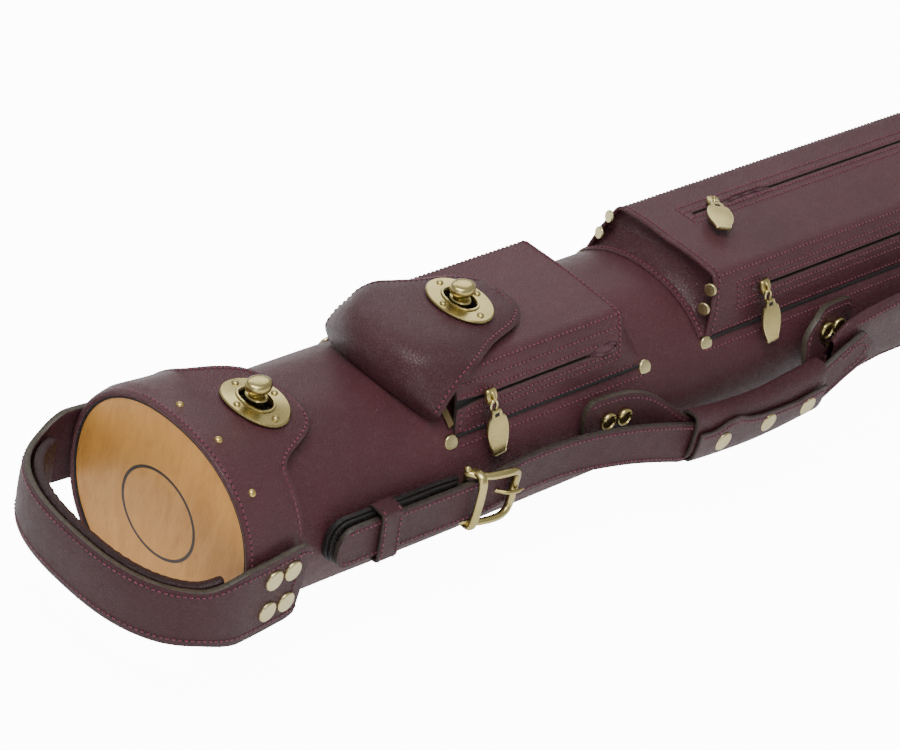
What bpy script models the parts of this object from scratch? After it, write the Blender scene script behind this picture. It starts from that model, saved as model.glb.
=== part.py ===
"""Leather cue case: hinged lid, two front pockets, carry handle, loop handle and shoulder strap.

Lengths are in millimetres in the design's own axes: x runs from the lid's face to the far end, y is across
(the strap side is -y), z is up from the middle of the lid's face. place() turns them into metres.
"""

import math

import bmesh
import bpy
from mathutils import Matrix, Vector

# --- driving dimensions, millimetres ---------------------------------------------------------------------------
LENGTH = 860.0
FLOOR_Z = -52.0           # the surface the case lies on
MIDDLE_X = 406.5          # middle of the whole object, loop handle included
MIDDLE_Y = -6.1           # middle of the whole object, straps included
FLAT_Z = -50.3            # the flattened back of body and lid
GAP = 0.3                 # clearance between touching pieces
LEATHER = 2.2
SIDES = 32                # points round the case's section

LID_HALF = (60.0, 51.2)   # half width and half depth at the lid's face
LID_BACK_HALF = (56.5, 47.0)
LID_BACK_CENTRE_Z = -2.5
LID_LENGTH = 32.0
LID_POWER = 2.2

BODY_HALF = (53.0, 44.5)
BODY_CENTRE_Z = -5.0
BODY_POWER = 2.1
BODY_START = 34.0
BODY_END = LENGTH - 34.0

CORE_WALL = 2.5
BUTT_TUBE_RADII = (17.5, 16.0)
SHAFT_TUBE_RADII = (9.5, 8.4)
BUTT_TUBE_CENTRES = ((-18.2, 0.0), (18.2, 0.0))
SHAFT_TUBE_CENTRES = ((-12.0, 26.8), (12.0, 26.8), (-12.0, -26.8), (12.0, -26.8))
TUBE_START = 44.0
TUBE_END = 806.0

POCKET_TOP_Z = 53.0
POCKET_TOP_HALF = 33.0
POCKET_SEAM_HALF = 41.5
SMALL_POCKET = (131.0, 255.0)
LARGE_POCKET = (303.0, 800.0)

HINGE_LEAF = (14.0, 64.0, 24.0)      # from x, to x, half width

LID_LOCK_X = 46.0
LID_LOCK_Z = 46.6
POCKET_LOCK_X = 165.0
POCKET_LOCK_Z = 61.2
LOCK_PLATE_HALF = (13.5, 18.2)
LOCK_SLOT_HALF = (5.2, 8.6)
KNOB_HALF = (6.8, 4.4)

STRAP_HALF = 10.5
STRAP_THICKNESS = 2.6

TOP_ZIP_Y = 11.0
SIDE_ZIP_Z = 41.0
SMALL_ZIP_Z = 38.5
TAPE_HALF = 5.0
TAPE = 0.9

COLLECTION_NAME = "cue_case"


# --- scene and materials ---------------------------------------------------------------------------------------
def clear_scene():
    for item in list(bpy.data.objects):
        bpy.data.objects.remove(item, do_unlink=True)


def new_collection(name):
    made = bpy.data.collections.new(name)
    bpy.context.scene.collection.children.link(made)
    return made


def new_material(name, color, roughness, metallic=0.0):
    material = bpy.data.materials.new(name)
    material.use_nodes = True
    shader = material.node_tree.nodes["Principled BSDF"]
    shader.inputs["Base Color"].default_value = (*color, 1.0)
    shader.inputs["Roughness"].default_value = roughness
    shader.inputs["Metallic"].default_value = metallic
    return material


clear_scene()
parts = new_collection(COLLECTION_NAME)
cutters = new_collection("cutters")

burgundy = new_material("burgundy_leather", (0.085, 0.022, 0.028), 0.42)
dark_leather = new_material("dark_leather", (0.03, 0.014, 0.012), 0.6)
brass = new_material("antique_brass", (0.55, 0.46, 0.24), 0.34, 1.0)
wood = new_material("oak_disc", (0.62, 0.36, 0.14), 0.4)
board = new_material("core_board", (0.16, 0.13, 0.11), 0.8)
tube_plastic = new_material("tube_liner", (0.05, 0.05, 0.055), 0.6)
foam = new_material("foam", (0.06, 0.05, 0.05), 0.9)
zip_tape = new_material("zip_tape", (0.07, 0.02, 0.03), 0.8)


# --- building helpers ------------------------------------------------------------------------------------------
def place(x, y, z):
    """Design millimetres to metres, with the origin under the middle of the case."""
    return Vector((x - MIDDLE_X, y - MIDDLE_Y, z - FLOOR_Z)) * 0.001


def finish(name, bm, material, smooth=False):
    """Turns a bmesh in design millimetres into a named object in metres."""
    for vert in bm.verts:
        vert.co = place(*vert.co)
    bmesh.ops.recalc_face_normals(bm, faces=bm.faces)
    mesh = bpy.data.meshes.new(name)
    bm.to_mesh(mesh)
    bm.free()
    made = bpy.data.objects.new(name, mesh)
    made.data.materials.append(material)
    parts.objects.link(made)
    if smooth:
        mesh.shade_smooth()
        mesh.set_sharp_from_angle(angle=math.radians(35))
    return made


def thicken(item, thickness, offset=-1.0):
    """Adds a Solidify; the thickness is in millimetres."""
    modifier = item.modifiers.new("thickness", "SOLIDIFY")
    modifier.thickness = thickness * 0.001
    modifier.offset = offset
    modifier.use_even_offset = True
    return item


def superellipse(half, power, centre_z=0.0, flat_z=None, count=SIDES):
    """Points (y, z) of a rounded section, with its back flattened at flat_z."""
    points = []
    for step in range(count):
        angle = 2 * math.pi * (step + 0.5) / count
        c, s = math.cos(angle), math.sin(angle)
        y = half[0] * math.copysign(abs(c) ** (2 / power), c)
        z = centre_z + half[1] * math.copysign(abs(s) ** (2 / power), s)
        if flat_z is not None:
            z = max(z, flat_z)
        points.append((y, z))
    return points


def body_top_z(y, grow=0.0):
    """Height of the body's upper surface at y, grown outwards by grow."""
    a, b = BODY_HALF[0] + grow, BODY_HALF[1] + grow
    return BODY_CENTRE_Z + b * (1 - min(1.0, abs(y) / a) ** BODY_POWER) ** (1 / BODY_POWER)


def loft(name, stations, material, caps=True, smooth=True):
    """A skin through closed sections, each given as (x, [(y, z), ...])."""
    bm = bmesh.new()
    loops = [[bm.verts.new((x, y, z)) for y, z in points] for x, points in stations]
    for first, second in zip(loops, loops[1:]):
        for k in range(len(first)):
            nxt = (k + 1) % len(first)
            bm.faces.new((first[k], first[nxt], second[nxt], second[k]))
    if caps:
        bm.faces.new(loops[0])
        bm.faces.new(loops[-1])
    return finish(name, bm, material, smooth)


def ribbon(name, rows, material, thickness, offset=0.0, smooth=False):
    """A sheet through rows of points, thickened on both sides of its middle surface by default."""
    bm = bmesh.new()
    grid = [[bm.verts.new(point) for point in row] for row in rows]
    for first, second in zip(grid, grid[1:]):
        for k in range(len(first) - 1):
            bm.faces.new((first[k], first[k + 1], second[k + 1], second[k]))
    return thicken(finish(name, bm, material, smooth), thickness, offset)


def plate(name, outline, material, to_space, thickness, hole=None):
    """A flat plate: outline and hole are (u, v) points, to_space(u, v, h) gives a design point at height h."""
    bm = bmesh.new()
    outer = [[bm.verts.new(to_space(u, v, h)) for u, v in outline] for h in (0.0, thickness)]
    count = len(outline)
    for k in range(count):
        nxt = (k + 1) % count
        bm.faces.new((outer[0][k], outer[0][nxt], outer[1][nxt], outer[1][k]))
    if hole is None:
        bm.faces.new(outer[0])
        bm.faces.new(outer[1])
    else:
        inner = [[bm.verts.new(to_space(u, v, h)) for u, v in hole] for h in (0.0, thickness)]
        for k in range(count):
            nxt = (k + 1) % count
            bm.faces.new((inner[0][k], inner[0][nxt], inner[1][nxt], inner[1][k]))
            bm.faces.new((outer[0][k], outer[0][nxt], inner[0][nxt], inner[0][k]))
            bm.faces.new((outer[1][k], outer[1][nxt], inner[1][nxt], inner[1][k]))
    return finish(name, bm, material)


def oval(half_u, half_v, power=2.0, count=20):
    return superellipse((half_u, half_v), power, count=count)


def box(name, low, high, material):
    """An axis-aligned block from a cube primitive."""
    bm = bmesh.new()
    middle = [(a + b) / 2 for a, b in zip(low, high)]
    size = [b - a for a, b in zip(low, high)]
    bmesh.ops.create_cube(bm, size=1.0, matrix=Matrix.Translation(middle) @ Matrix.Diagonal((*size, 1.0)))
    return finish(name, bm, material)


def disc_on(name, centre, normal, radius, height, material, sides=16, top=0.8):
    """A low button: a short cone frustum standing on a surface."""
    bm = bmesh.new()
    turn = Vector((0, 0, 1)).rotation_difference(Vector(normal).normalized()).to_matrix().to_4x4()
    middle = Vector(centre) + Vector(normal).normalized() * height / 2
    bmesh.ops.create_cone(bm, cap_ends=True, segments=sides, radius1=radius, radius2=radius * top,
                          depth=height, matrix=Matrix.Translation(middle) @ turn)
    return finish(name, bm, material, True)


def join_to(main, others):
    """Boolean union of the others into main; the others are removed afterwards."""
    for other in others:
        modifier = main.modifiers.new("join", "BOOLEAN")
        modifier.operation = "UNION"
        modifier.object = other
    bake(main)
    for other in others:
        bpy.data.objects.remove(other, do_unlink=True)
    return main


def bake(item):
    """Applies the item's modifiers into its mesh."""
    evaluated = item.evaluated_get(bpy.context.evaluated_depsgraph_get())
    mesh = bpy.data.meshes.new_from_object(evaluated)
    item.modifiers.clear()
    item.data = mesh


def cut(item, others):
    """Subtracts the others from item."""
    for other in others:
        modifier = item.modifiers.new("cut", "BOOLEAN")
        modifier.operation = "DIFFERENCE"
        modifier.object = other
    bake(item)
    for other in others:
        bpy.data.objects.remove(other, do_unlink=True)
    return item


def set_origin(item, x, y, z):
    """Puts the object's origin on its joint's axis without moving its mesh."""
    origin = place(x, y, z)
    item.data.transform(Matrix.Translation(-origin))
    item.location = origin


# --- body and what it holds ------------------------------------------------------------------------------------
def body_section(inset, flat_z=FLAT_Z):
    half = (BODY_HALF[0] - inset, BODY_HALF[1] - inset)
    return superellipse(half, BODY_POWER, BODY_CENTRE_Z, flat_z + inset)


def make_body():
    skin = loft("body_leather", [(BODY_START, body_section(0)), (BODY_END, body_section(0))], burgundy, caps=False)
    thicken(skin, LEATHER)
    inset = LEATHER + GAP
    core = loft("core_shell", [(BODY_START + 2, body_section(inset)), (BODY_END - 1, body_section(inset))],
                board, caps=False)
    thicken(core, CORE_WALL)


def tube_along_x(name, y, z, radii, start, end, material, sides=20):
    bm = bmesh.new()
    turn = Matrix.Rotation(math.radians(90), 4, "Y")
    bmesh.ops.create_cone(bm, cap_ends=False, segments=sides, radius1=radii[0], radius2=radii[0],
                          depth=end - start, matrix=Matrix.Translation(((start + end) / 2, y, z)) @ turn)
    made = finish(name, bm, material, True)
    return thicken(made, radii[0] - radii[1])


def bore_along_x(y, z, radius, start, end, sides=20):
    bm = bmesh.new()
    turn = Matrix.Rotation(math.radians(90), 4, "Y")
    bmesh.ops.create_cone(bm, cap_ends=True, segments=sides, radius1=radius, radius2=radius,
                          depth=end - start, matrix=Matrix.Translation(((start + end) / 2, y, z)) @ turn)
    return finish("bore_cutter", bm, board)


def make_inside():
    kinds = (("butt_tube", BUTT_TUBE_CENTRES, BUTT_TUBE_RADII), ("shaft_tube", SHAFT_TUBE_CENTRES, SHAFT_TUBE_RADII))
    inner = LEATHER + CORE_WALL + 3 * GAP
    spacer_x = (TUBE_START - 3, TUBE_START + 6)
    spacer = loft("front_spacer", [(x, body_section(inner)) for x in spacer_x], foam)
    bores = []
    for label, centres, radii in kinds:
        for number, (y, dz) in enumerate(centres, start=1):
            z = BODY_CENTRE_Z + dz
            tube_along_x(f"{label}_{number}", y, z, radii, TUBE_START, TUBE_END, tube_plastic)
            bores.append(bore_along_x(y, z, radii[0] + GAP, spacer_x[0] - 2, spacer_x[1] + 2))
    cut(spacer, bores)
    loft("rear_pad", [(TUBE_END + 2, body_section(inner)), (BODY_END - 2, body_section(inner))], foam)


def make_far_end():
    back_half = (LID_BACK_HALF[0], LID_BACK_HALF[1] + 1.0)
    face_half = (LID_HALF[0], LID_HALF[1] + 1.2)
    near = superellipse(back_half, LID_POWER, LID_BACK_CENTRE_Z, FLOOR_Z)
    face = superellipse(face_half, LID_POWER, 0.0, FLOOR_Z)
    band = loft("end_band", [(BODY_END + GAP, near), (LENGTH, face)], burgundy, caps=False)
    thicken(band, LEATHER)
    disc = superellipse((LID_BACK_HALF[0] - 2.9, LID_BACK_HALF[1] - 2.5), LID_POWER, LID_BACK_CENTRE_Z / 2)
    loft("end_disc", [(LENGTH - 22, disc), (LENGTH - 1, disc)], wood)


# --- lid -------------------------------------------------------------------------------------------------------
def lid_section(x, inset=0.0):
    share = x / LID_LENGTH
    half = [a + (b - a) * share - inset for a, b in zip(LID_HALF, LID_BACK_HALF)]
    return superellipse(half, LID_POWER, LID_BACK_CENTRE_Z * share, FLAT_Z + inset)


def lid_back_z(y, grow=0.0):
    """Height of the lid's upper surface at its back edge."""
    share = min(1.0, abs(y) / LID_BACK_HALF[0])
    return LID_BACK_CENTRE_Z + grow + LID_BACK_HALF[1] * (1 - share ** LID_POWER) ** (1 / LID_POWER)


def make_lid():
    band = loft("lid_band", [(0, lid_section(0)), (LID_LENGTH, lid_section(LID_LENGTH))], burgundy, caps=False)
    thicken(band, LEATHER)
    disc_inset = LEATHER + 0.9
    disc = lid_section(0, disc_inset + 0.4)
    disc_back = lid_section(12, disc_inset)
    loft("lid_disc", [(1.2, disc), (12, disc_back)], wood)
    pad_front, pad_back = lid_section(13, disc_inset), lid_section(30, disc_inset)
    loft("lid_pad", [(12.4, pad_front), (30, pad_back)], foam)
    leaf = HINGE_LEAF
    box("lid_hinge_leaf", (leaf[0], -leaf[2], FLOOR_Z), (leaf[1], leaf[2], FLAT_Z - GAP), burgundy)


TONGUE_ROOT_X = LID_LENGTH + 0.5
TONGUE_TIP_X = 66.0
TONGUE_THICKNESS = 2.4


def tongue_half_width(x):
    """The tongue narrows from the band's edge and ends in two rounded corners."""
    share = (x - TONGUE_ROOT_X) / (TONGUE_TIP_X - TONGUE_ROOT_X)
    flare = 31.0 - 8.5 * min(1.0, share / 0.45)
    corner = 8.0 * max(0.0, (share - 0.7) / 0.3) ** 2
    return flare - corner


def make_tongue():
    rows = []
    for step in range(9):
        x = TONGUE_ROOT_X + (TONGUE_TIP_X - TONGUE_ROOT_X) * step / 8
        half = tongue_half_width(x)
        ys = [half * (-1 + 2 * k / 8) for k in range(9)]
        rows.append([(x, y, lid_back_z(y) - TONGUE_THICKNESS / 2 - 0.02 * (x - TONGUE_ROOT_X)) for y in ys])
    tongue = ribbon("lid_tongue", rows, burgundy, TONGUE_THICKNESS)
    hole = plate("hole_cutter", oval(LOCK_SLOT_HALF[0] + 1, LOCK_SLOT_HALF[1] + 1), brass,
                 lambda u, v, h: (LID_LOCK_X + u, v, 30 + h), 30)
    cut(tongue, [hole])


def lock_plate(name, x, height_at):
    outline = oval(*LOCK_PLATE_HALF, power=2.1, count=24)
    slot = oval(*LOCK_SLOT_HALF, power=2.6, count=24)
    return plate(name, outline, brass, lambda u, v, h: (x + u, v, height_at(v) + h), 1.5, slot)


def lock_post(name, x, base_z, top_z):
    """A flange on the leather with the oval collar that passes through the plate."""
    flange = plate(name, oval(8.0, 11.0, count=16), brass, lambda u, v, h: (x + u, v, base_z + h), 1.2)
    half = (LOCK_SLOT_HALF[0] - 0.5, LOCK_SLOT_HALF[1] - 0.5)
    collar = plate("collar", oval(*half, power=2.6, count=16), brass,
                   lambda u, v, h: (x + u, v, base_z + 1.0 + h), top_z - base_z - 1.0)
    return join_to(flange, [collar])


def lock_knob(name, x, base_z):
    """The turning head, long side along the case when locked."""
    outline = oval(*KNOB_HALF, power=2.6, count=20)
    levels = ((0.0, 0.72), (1.6, 0.95), (4.6, 1.0), (6.4, 0.78))
    bm = bmesh.new()
    loops = [[bm.verts.new((x + u * grow, v * grow, base_z + h)) for u, v in outline] for h, grow in levels]
    for first, second in zip(loops, loops[1:]):
        for k in range(len(outline)):
            nxt = (k + 1) % len(outline)
            bm.faces.new((first[k], first[nxt], second[nxt], second[k]))
    bm.faces.new(loops[0])
    bm.faces.new(loops[-1])
    knob = finish(name, bm, brass, True)
    set_origin(knob, x, 0, base_z)


def make_lid_lock():
    lock_plate("lid_lock_plate", LID_LOCK_X, lambda v: lid_back_z(v) + GAP)
    top = LID_LOCK_Z + 1.2
    lock_post("lid_lock_post", LID_LOCK_X, body_top_z(0) + GAP, top)
    lock_knob("lid_lock_knob", LID_LOCK_X, top + GAP)


# --- loop handle on the lid ------------------------------------------------------------------------------------
LOOP_HALF_Y = 62.4
LOOP_REACH = 46.0
LOOP_CENTRE_Z = -3.0
LOOP_ROOT_HALF_Z = 18.5
LOOP_MIDDLE_HALF_Z = 14.5
LOOP_STRAP = 2.8
LINING = 4.2


def loop_point(angle, inset):
    """A point of the loop seen from above; angle -90..90 degrees runs from the near side to the far side."""
    power = 2.5
    s, c = math.sin(angle), math.cos(angle)
    y = (LOOP_HALF_Y - inset) * math.copysign(abs(s) ** (2 / power), s)
    x = -(LOOP_REACH - inset) * max(c, 0.0) ** (2 / power)
    return x, y


def make_end_handle():
    def rows(angles, inset, trim):
        made = []
        for angle in angles:
            x, y = loop_point(angle, inset)
            share = abs(math.sin(angle)) ** 3
            half = LOOP_MIDDLE_HALF_Z + (LOOP_ROOT_HALF_Z - LOOP_MIDDLE_HALF_Z) * share - trim
            made.append([(x, y, LOOP_CENTRE_Z + side * half) for side in (-1, 0, 1)])
        return made

    def spread(limit, count):
        return [math.radians(-limit + 2 * limit * k / (count - 1)) for k in range(count)]

    ribbon("end_handle_strap", rows(spread(90, 29), 0.0, 0.0), burgundy, LOOP_STRAP)
    ribbon("end_handle_lining", rows(spread(78, 25), LOOP_STRAP / 2 + LINING / 2 + GAP, 2.5), dark_leather, LINING)
    for label, side in (("near", -1), ("far", 1)):
        front = [(1.0, side * LOOP_HALF_Y, LOOP_CENTRE_Z + k * LOOP_ROOT_HALF_Z) for k in (-1, 0, 1)]
        back = [(33.0, side * (LOOP_HALF_Y - 3.4), LOOP_CENTRE_Z + k * LOOP_ROOT_HALF_Z) for k in (-1, 0, 1)]
        ribbon(f"end_handle_root_{label}", [front, back], burgundy, LOOP_STRAP)
        rivet_plate(f"end_handle_rivets_{label}", side)


def rivet_plate(name, side):
    """Four flat caps on one backing plate, leaning with the strap's end."""
    lean = 3.4 / 32.0
    surface = LOOP_HALF_Y + LOOP_STRAP / 2 + GAP

    def outward(x):
        return side * (surface - lean * (x - 1.0))

    low, high = 6.5, 29.0
    backing = ribbon(name, [[(x, outward(x) + side * 0.3, LOOP_CENTRE_Z + z) for z in (-13, 13)]
                            for x in (low, high)], brass, 0.6)
    bake(backing)
    caps = []
    for x in (12.0, 23.5):
        for z in (-8.4, 7.4):
            centre = (x, outward(x) + side * 0.2, LOOP_CENTRE_Z + z)
            caps.append(disc_on("cap", centre, (lean, side, 0), 4.9, 1.6, brass))
    join_to(backing, caps)


# --- pockets ---------------------------------------------------------------------------------------------------
FLOOR_WALL = 1.6
SIDE_KNEE = (38.4, 38.0)     # y and z where the pocket's side wall changes slope


def pocket_side_y(z):
    """Half width of the pocket's outer side wall at height z."""
    seam_z = body_top_z(POCKET_SEAM_HALF)
    if z < SIDE_KNEE[1]:
        share = (z - seam_z) / (SIDE_KNEE[1] - seam_z)
        return POCKET_SEAM_HALF + (SIDE_KNEE[0] - POCKET_SEAM_HALF) * share
    share = (z - SIDE_KNEE[1]) / (POCKET_TOP_Z - SIDE_KNEE[1])
    return SIDE_KNEE[0] + (POCKET_TOP_HALF - SIDE_KNEE[0]) * share


def pocket_top_z(y):
    """The crowned top."""
    return POCKET_TOP_Z + 1.2 * (1 - (y / POCKET_TOP_HALF) ** 2)


def pocket_section(fullness, wall=0.0):
    """Closed outline of a pocket; wall insets it, fullness below 1 flattens it towards the body."""
    seam = POCKET_SEAM_HALF - wall * 1.3
    floor = GAP + (FLOOR_WALL if wall else 0.0)
    base = [(seam * k / 5, body_top_z(seam * k / 5, floor)) for k in range(-5, 6)]
    wall_z = (30.0, SIDE_KNEE[1], 45.0, 50.5)
    side = [(pocket_side_y(z) - wall, z) for z in wall_z]
    top = [((POCKET_TOP_HALF - 2.0 - wall) * k / 3, 0.0) for k in (3, 2, 1, 0, -1, -2, -3)]
    top = [(y, pocket_top_z(y) - wall) for y, _ in top]
    upper = side + top + [(-y, z) for y, z in reversed(side)]
    flat = []
    for y, z in upper:
        ground = body_top_z(min(abs(y), seam), floor)
        flat.append((y, ground + (z - ground) * fullness))
    return base + flat


def box_cutter(low, high):
    return box("slot_cutter", low, high, foam)


def make_small_pocket():
    x0, x1 = SMALL_POCKET
    pocket = loft("small_pocket", [(x0 + 3, pocket_section(1)), (x1 - 8, pocket_section(1)),
                                   (x1 + 1, pocket_section(0.12))], burgundy, smooth=False)
    hollow = loft("hollow", [(x0 - 6, pocket_section(1, LEATHER)), (x1 - 11, pocket_section(1, LEATHER))], foam)
    slot = box_cutter((145, -50, SMALL_ZIP_Z - 3), (238, -30, SMALL_ZIP_Z + 3))
    cut(pocket, [hollow, slot])
    tape_on_side("small_zip_tape", 142.0, 240.0, SMALL_ZIP_Z)


def make_large_pocket():
    x0, x1 = LARGE_POCKET
    stations = [(x0 - 1, 0.12), (x0 + 7, 1), (x1 - 8, 1), (x1, 0.12)]
    pocket = loft("large_pocket", [(x, pocket_section(k)) for x, k in stations], burgundy, smooth=False)
    hollow = loft("hollow", [(x0 + 10, pocket_section(1, LEATHER)), (x1 - 11, pocket_section(1, LEATHER))], foam)
    side_slot = box_cutter((335, -50, SIDE_ZIP_Z - 3), (782, -30, SIDE_ZIP_Z + 3))
    top_slot = box_cutter((348, TOP_ZIP_Y - 3, 45), (782, TOP_ZIP_Y + 3, 60))
    cut(pocket, [hollow, side_slot, top_slot])
    tape_on_side("side_zip_tape", 331.0, 786.0, SIDE_ZIP_Z)
    z = pocket_top_z(TOP_ZIP_Y - TAPE_HALF) + GAP
    box("top_zip_tape", (344, TOP_ZIP_Y - TAPE_HALF, z), (786, TOP_ZIP_Y + TAPE_HALF, z + TAPE), zip_tape)


def side_rise(z):
    """Unit vector up the near side wall at height z."""
    return Vector((0, -(pocket_side_y(z + 1) - pocket_side_y(z - 1)), 2.0)).normalized()


def tape_on_side(name, start, end, z):
    """A zip's tape laid on the near side wall."""
    points = []
    for dz in (-TAPE_HALF, 0.0, TAPE_HALF):
        points.append((-(pocket_side_y(z + dz) + GAP + TAPE / 2 + 0.25), z + dz))
    ribbon(name, [[(x, y, zz) for y, zz in points] for x in (start, end)], zip_tape, TAPE)


SLIDER_HALF = (4.5, 3.6)
SLIDER_HEIGHT = 3.0
BAIL_HALF = 1.2
BAIL_END = 4.8
PULL_LENGTH = 21.8
PULL_END_HALF = 3.4
PULL_BELLY_HALF = 6.4
PULL_THICKNESS = 1.6
PULL_START = 5.9             # from the slider's middle to the pull's upper end


def slider_and_pull(label, middle, out, down):
    """A zip slider block with its barrel-shaped pull; out points away from the pocket, down along the pull."""
    middle, out, down = Vector(middle), Vector(out).normalized(), Vector(down).normalized()
    across = out.cross(down).normalized()

    def spot(u, v, h):
        return tuple(middle + across * u + down * v + out * h)

    def rectangle(half, low, high):
        return [(-half, low), (half, low), (half, high), (-half, high)]

    half, end = SLIDER_HALF
    slider = plate(f"{label}_slider", rectangle(half, -end, end), brass, spot, SLIDER_HEIGHT)
    bail = plate("bail", rectangle(BAIL_HALF, -1.5, BAIL_END), brass,
                 lambda u, v, h: spot(u, v, h + SLIDER_HEIGHT - 0.2), PULL_THICKNESS)
    join_to(slider, [bail])
    set_origin(slider, *middle)
    outline = []
    for k in range(9):
        bulge = math.sin(math.pi * (0.12 + 0.8 * k / 8))
        outline.append((PULL_END_HALF + (PULL_BELLY_HALF - PULL_END_HALF) * bulge, PULL_LENGTH * k / 8))
    outline += [(-u, v) for u, v in reversed(outline)]
    pull = plate(f"{label}_pull", outline, brass,
                 lambda u, v, h: spot(u, v + PULL_START, h + SLIDER_HEIGHT), PULL_THICKNESS)
    set_origin(pull, *spot(0, PULL_START, SLIDER_HEIGHT + PULL_THICKNESS / 2))


def make_zips():
    """The side pulls hang down their wall, the top one lies back towards the near front corner."""
    stand_off = GAP * 2 + TAPE + 0.35
    for label, x, z in (("small_zip", 152.0, SMALL_ZIP_Z), ("side_zip", 340.0, SIDE_ZIP_Z)):
        rise = side_rise(z)
        out = rise.cross(Vector((-1, 0, 0)))
        middle = Vector((x, -pocket_side_y(z), z)) + out * stand_off
        slider_and_pull(label, middle, out, Vector((0.10, 0, 0)) - rise)
    z = pocket_top_z(TOP_ZIP_Y - TAPE_HALF) + GAP * 2 + TAPE + 0.1
    slider_and_pull("top_zip", (352.0, TOP_ZIP_Y, z), (0, 0, 1), (-0.61, -0.79, 0))


# --- flap over the small pocket --------------------------------------------------------------------------------
FLAP_THICKNESS = 2.4
FLAP_PROFILE = ((113.0, None, 36.0), (110.4, 44.0, 36.5), (110.6, 51.0, 36.0), (114.5, 57.0, 35.5),
                (122.0, 60.2, 35.2), (134.0, 60.6, 35.0), (150.0, 59.6, 34.0), (165.0, 58.4, 32.0),
                (178.0, 57.5, 27.5), (186.0, 57.0, 22.0), (190.0, 56.7, 14.0))


def make_flap():
    rows = []
    for index, (x, z, half) in enumerate(FLAP_PROFILE):
        row = []
        for k in range(9):
            y = half * (-1 + k / 4)
            ground = body_top_z(y, 0.7 + FLAP_THICKNESS / 2)
            if z is None:
                height = ground
            else:
                drop = (body_top_z(0) - body_top_z(y)) * max(0.0, 1 - index / 3) + 1.2 * (y / POCKET_TOP_HALF) ** 2
                height = z - drop
            row.append((x, y, height))
        rows.append(row)
    flap = ribbon("pocket_flap", rows, burgundy, FLAP_THICKNESS)
    hole = plate("hole_cutter", oval(LOCK_SLOT_HALF[0] + 1, LOCK_SLOT_HALF[1] + 1), brass,
                 lambda u, v, h: (POCKET_LOCK_X + u, v, 54.6 + h), 12)
    cut(flap, [hole])
    lock_plate("pocket_lock_plate", POCKET_LOCK_X, lambda v: POCKET_LOCK_Z - 0.2)
    top = POCKET_LOCK_Z + 1.5
    lock_post("pocket_lock_post", POCKET_LOCK_X, pocket_top_z(0) + GAP, top)
    lock_knob("pocket_lock_knob", POCKET_LOCK_X, top + GAP)


# --- straps on the near side -----------------------------------------------------------------------------------
BUCKLE_STRAP = (49.0, 123.0)
BUCKLE_STRAP_Y = -55.1       # its inner face
BUCKLE_STRAP_Z = 3.7
STRAP_ROUTE = ((50.5, -60.3, 3.4), (62.0, -60.3, 3.2), (78.0, -60.2, 2.8), (92.0, -60.2, 2.2),
               (105.0, -60.6, 2.4), (118.0, -61.4, 3.0), (131.0, -61.9, 3.6), (143.0, -61.7, 4.0),
               (155.0, -60.9, 4.3), (166.0, -60.4, 4.5), (180.0, -60.4, 4.5), (195.0, -60.9, 4.1),
               (210.0, -62.5, 3.4), (232.0, -65.5, 1.2), (250.0, -68.2, -1.8), (264.0, -69.6, -5.4),
               (272.0, -70.1, -7.2), (300.0, -70.2, -8.4), (330.0, -70.2, -8.4), (354.0, -70.2, -7.8),
               (365.0, -70.1, -6.6), (373.0, -70.0, -2.6), (384.0, -69.9, 3.4), (396.0, -69.7, 9.0))
PRONG_SLOT = (141.0, 153.0)
PRONG_Z = 3.9
PAD_LEVELS = ((378.0, 4.0, 0.55), (386.0, 5.0, 0.92), (398.0, 6.8, 1.0), (420.0, 9.2, 1.0), (660.0, 9.2, 1.0),
              (684.0, 7.6, 0.95), (700.0, 4.6, 0.55))       # x, middle z, share of the full width
PAD_Y = -63.2
PAD_HALF = (4.0, 18.5)
TAIL_ROUTE = ((700.6, -61.4, 4.0), (720.0, -59.5, 3.0), (745.0, -57.4, 2.0), (770.0, -55.8, 2.0),
              (790.0, -55.4, 2.0))
KEEPER = (74.0, 85.0)
KEEPER_HALF = (5.0, 14.4)
KEEPER_Y = -58.5
KEEPER_Z = 3.4


def strap_rows(route, half=STRAP_HALF):
    return [[(x, y, z + side * half) for side in (-1, 0, 1)] for x, y, z in route]


def stadium(x0, x1, half, count=6):
    """Outline in (x, z) with a round end at x0 and a square end at x1."""
    arc = [math.radians(90 + 180 * k / (count * 2)) for k in range(count * 2 + 1)]
    points = [(x0 + half + half * math.cos(a), half * math.sin(a)) for a in arc]
    return points + [(x1, -half), (x1, half)]


def make_straps():
    plate("buckle_strap", stadium(*BUCKLE_STRAP, STRAP_HALF + 0.5), burgundy,
          lambda u, v, h: (u, BUCKLE_STRAP_Y - h, BUCKLE_STRAP_Z + v), 2.0)
    strap = ribbon("shoulder_strap", strap_rows(STRAP_ROUTE), burgundy, STRAP_THICKNESS)
    bake(strap)
    cut(strap, [box_cutter((PRONG_SLOT[0], -70, PRONG_Z - 2.4), (PRONG_SLOT[1], -55, PRONG_Z + 2.4))])
    ribbon("shoulder_strap_tail", strap_rows(TAIL_ROUTE), burgundy, STRAP_THICKNESS)
    outline = superellipse(PAD_HALF, 3.0, count=16)
    loft("shoulder_pad", [(x, [(PAD_Y + y, middle + z * grow) for y, z in outline])
                          for x, middle, grow in PAD_LEVELS], burgundy)


def make_keeper():
    """A leather loop round both straps, with its origin on its slide."""
    outer = [(KEEPER_Y + y, KEEPER_Z + z) for y, z in superellipse(KEEPER_HALF, 7.0, count=24)]
    keeper = loft("strap_keeper", [(x, outer) for x in KEEPER], burgundy, caps=False)
    thicken(keeper, 1.2)
    set_origin(keeper, KEEPER[0], KEEPER_Y, KEEPER_Z)


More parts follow.
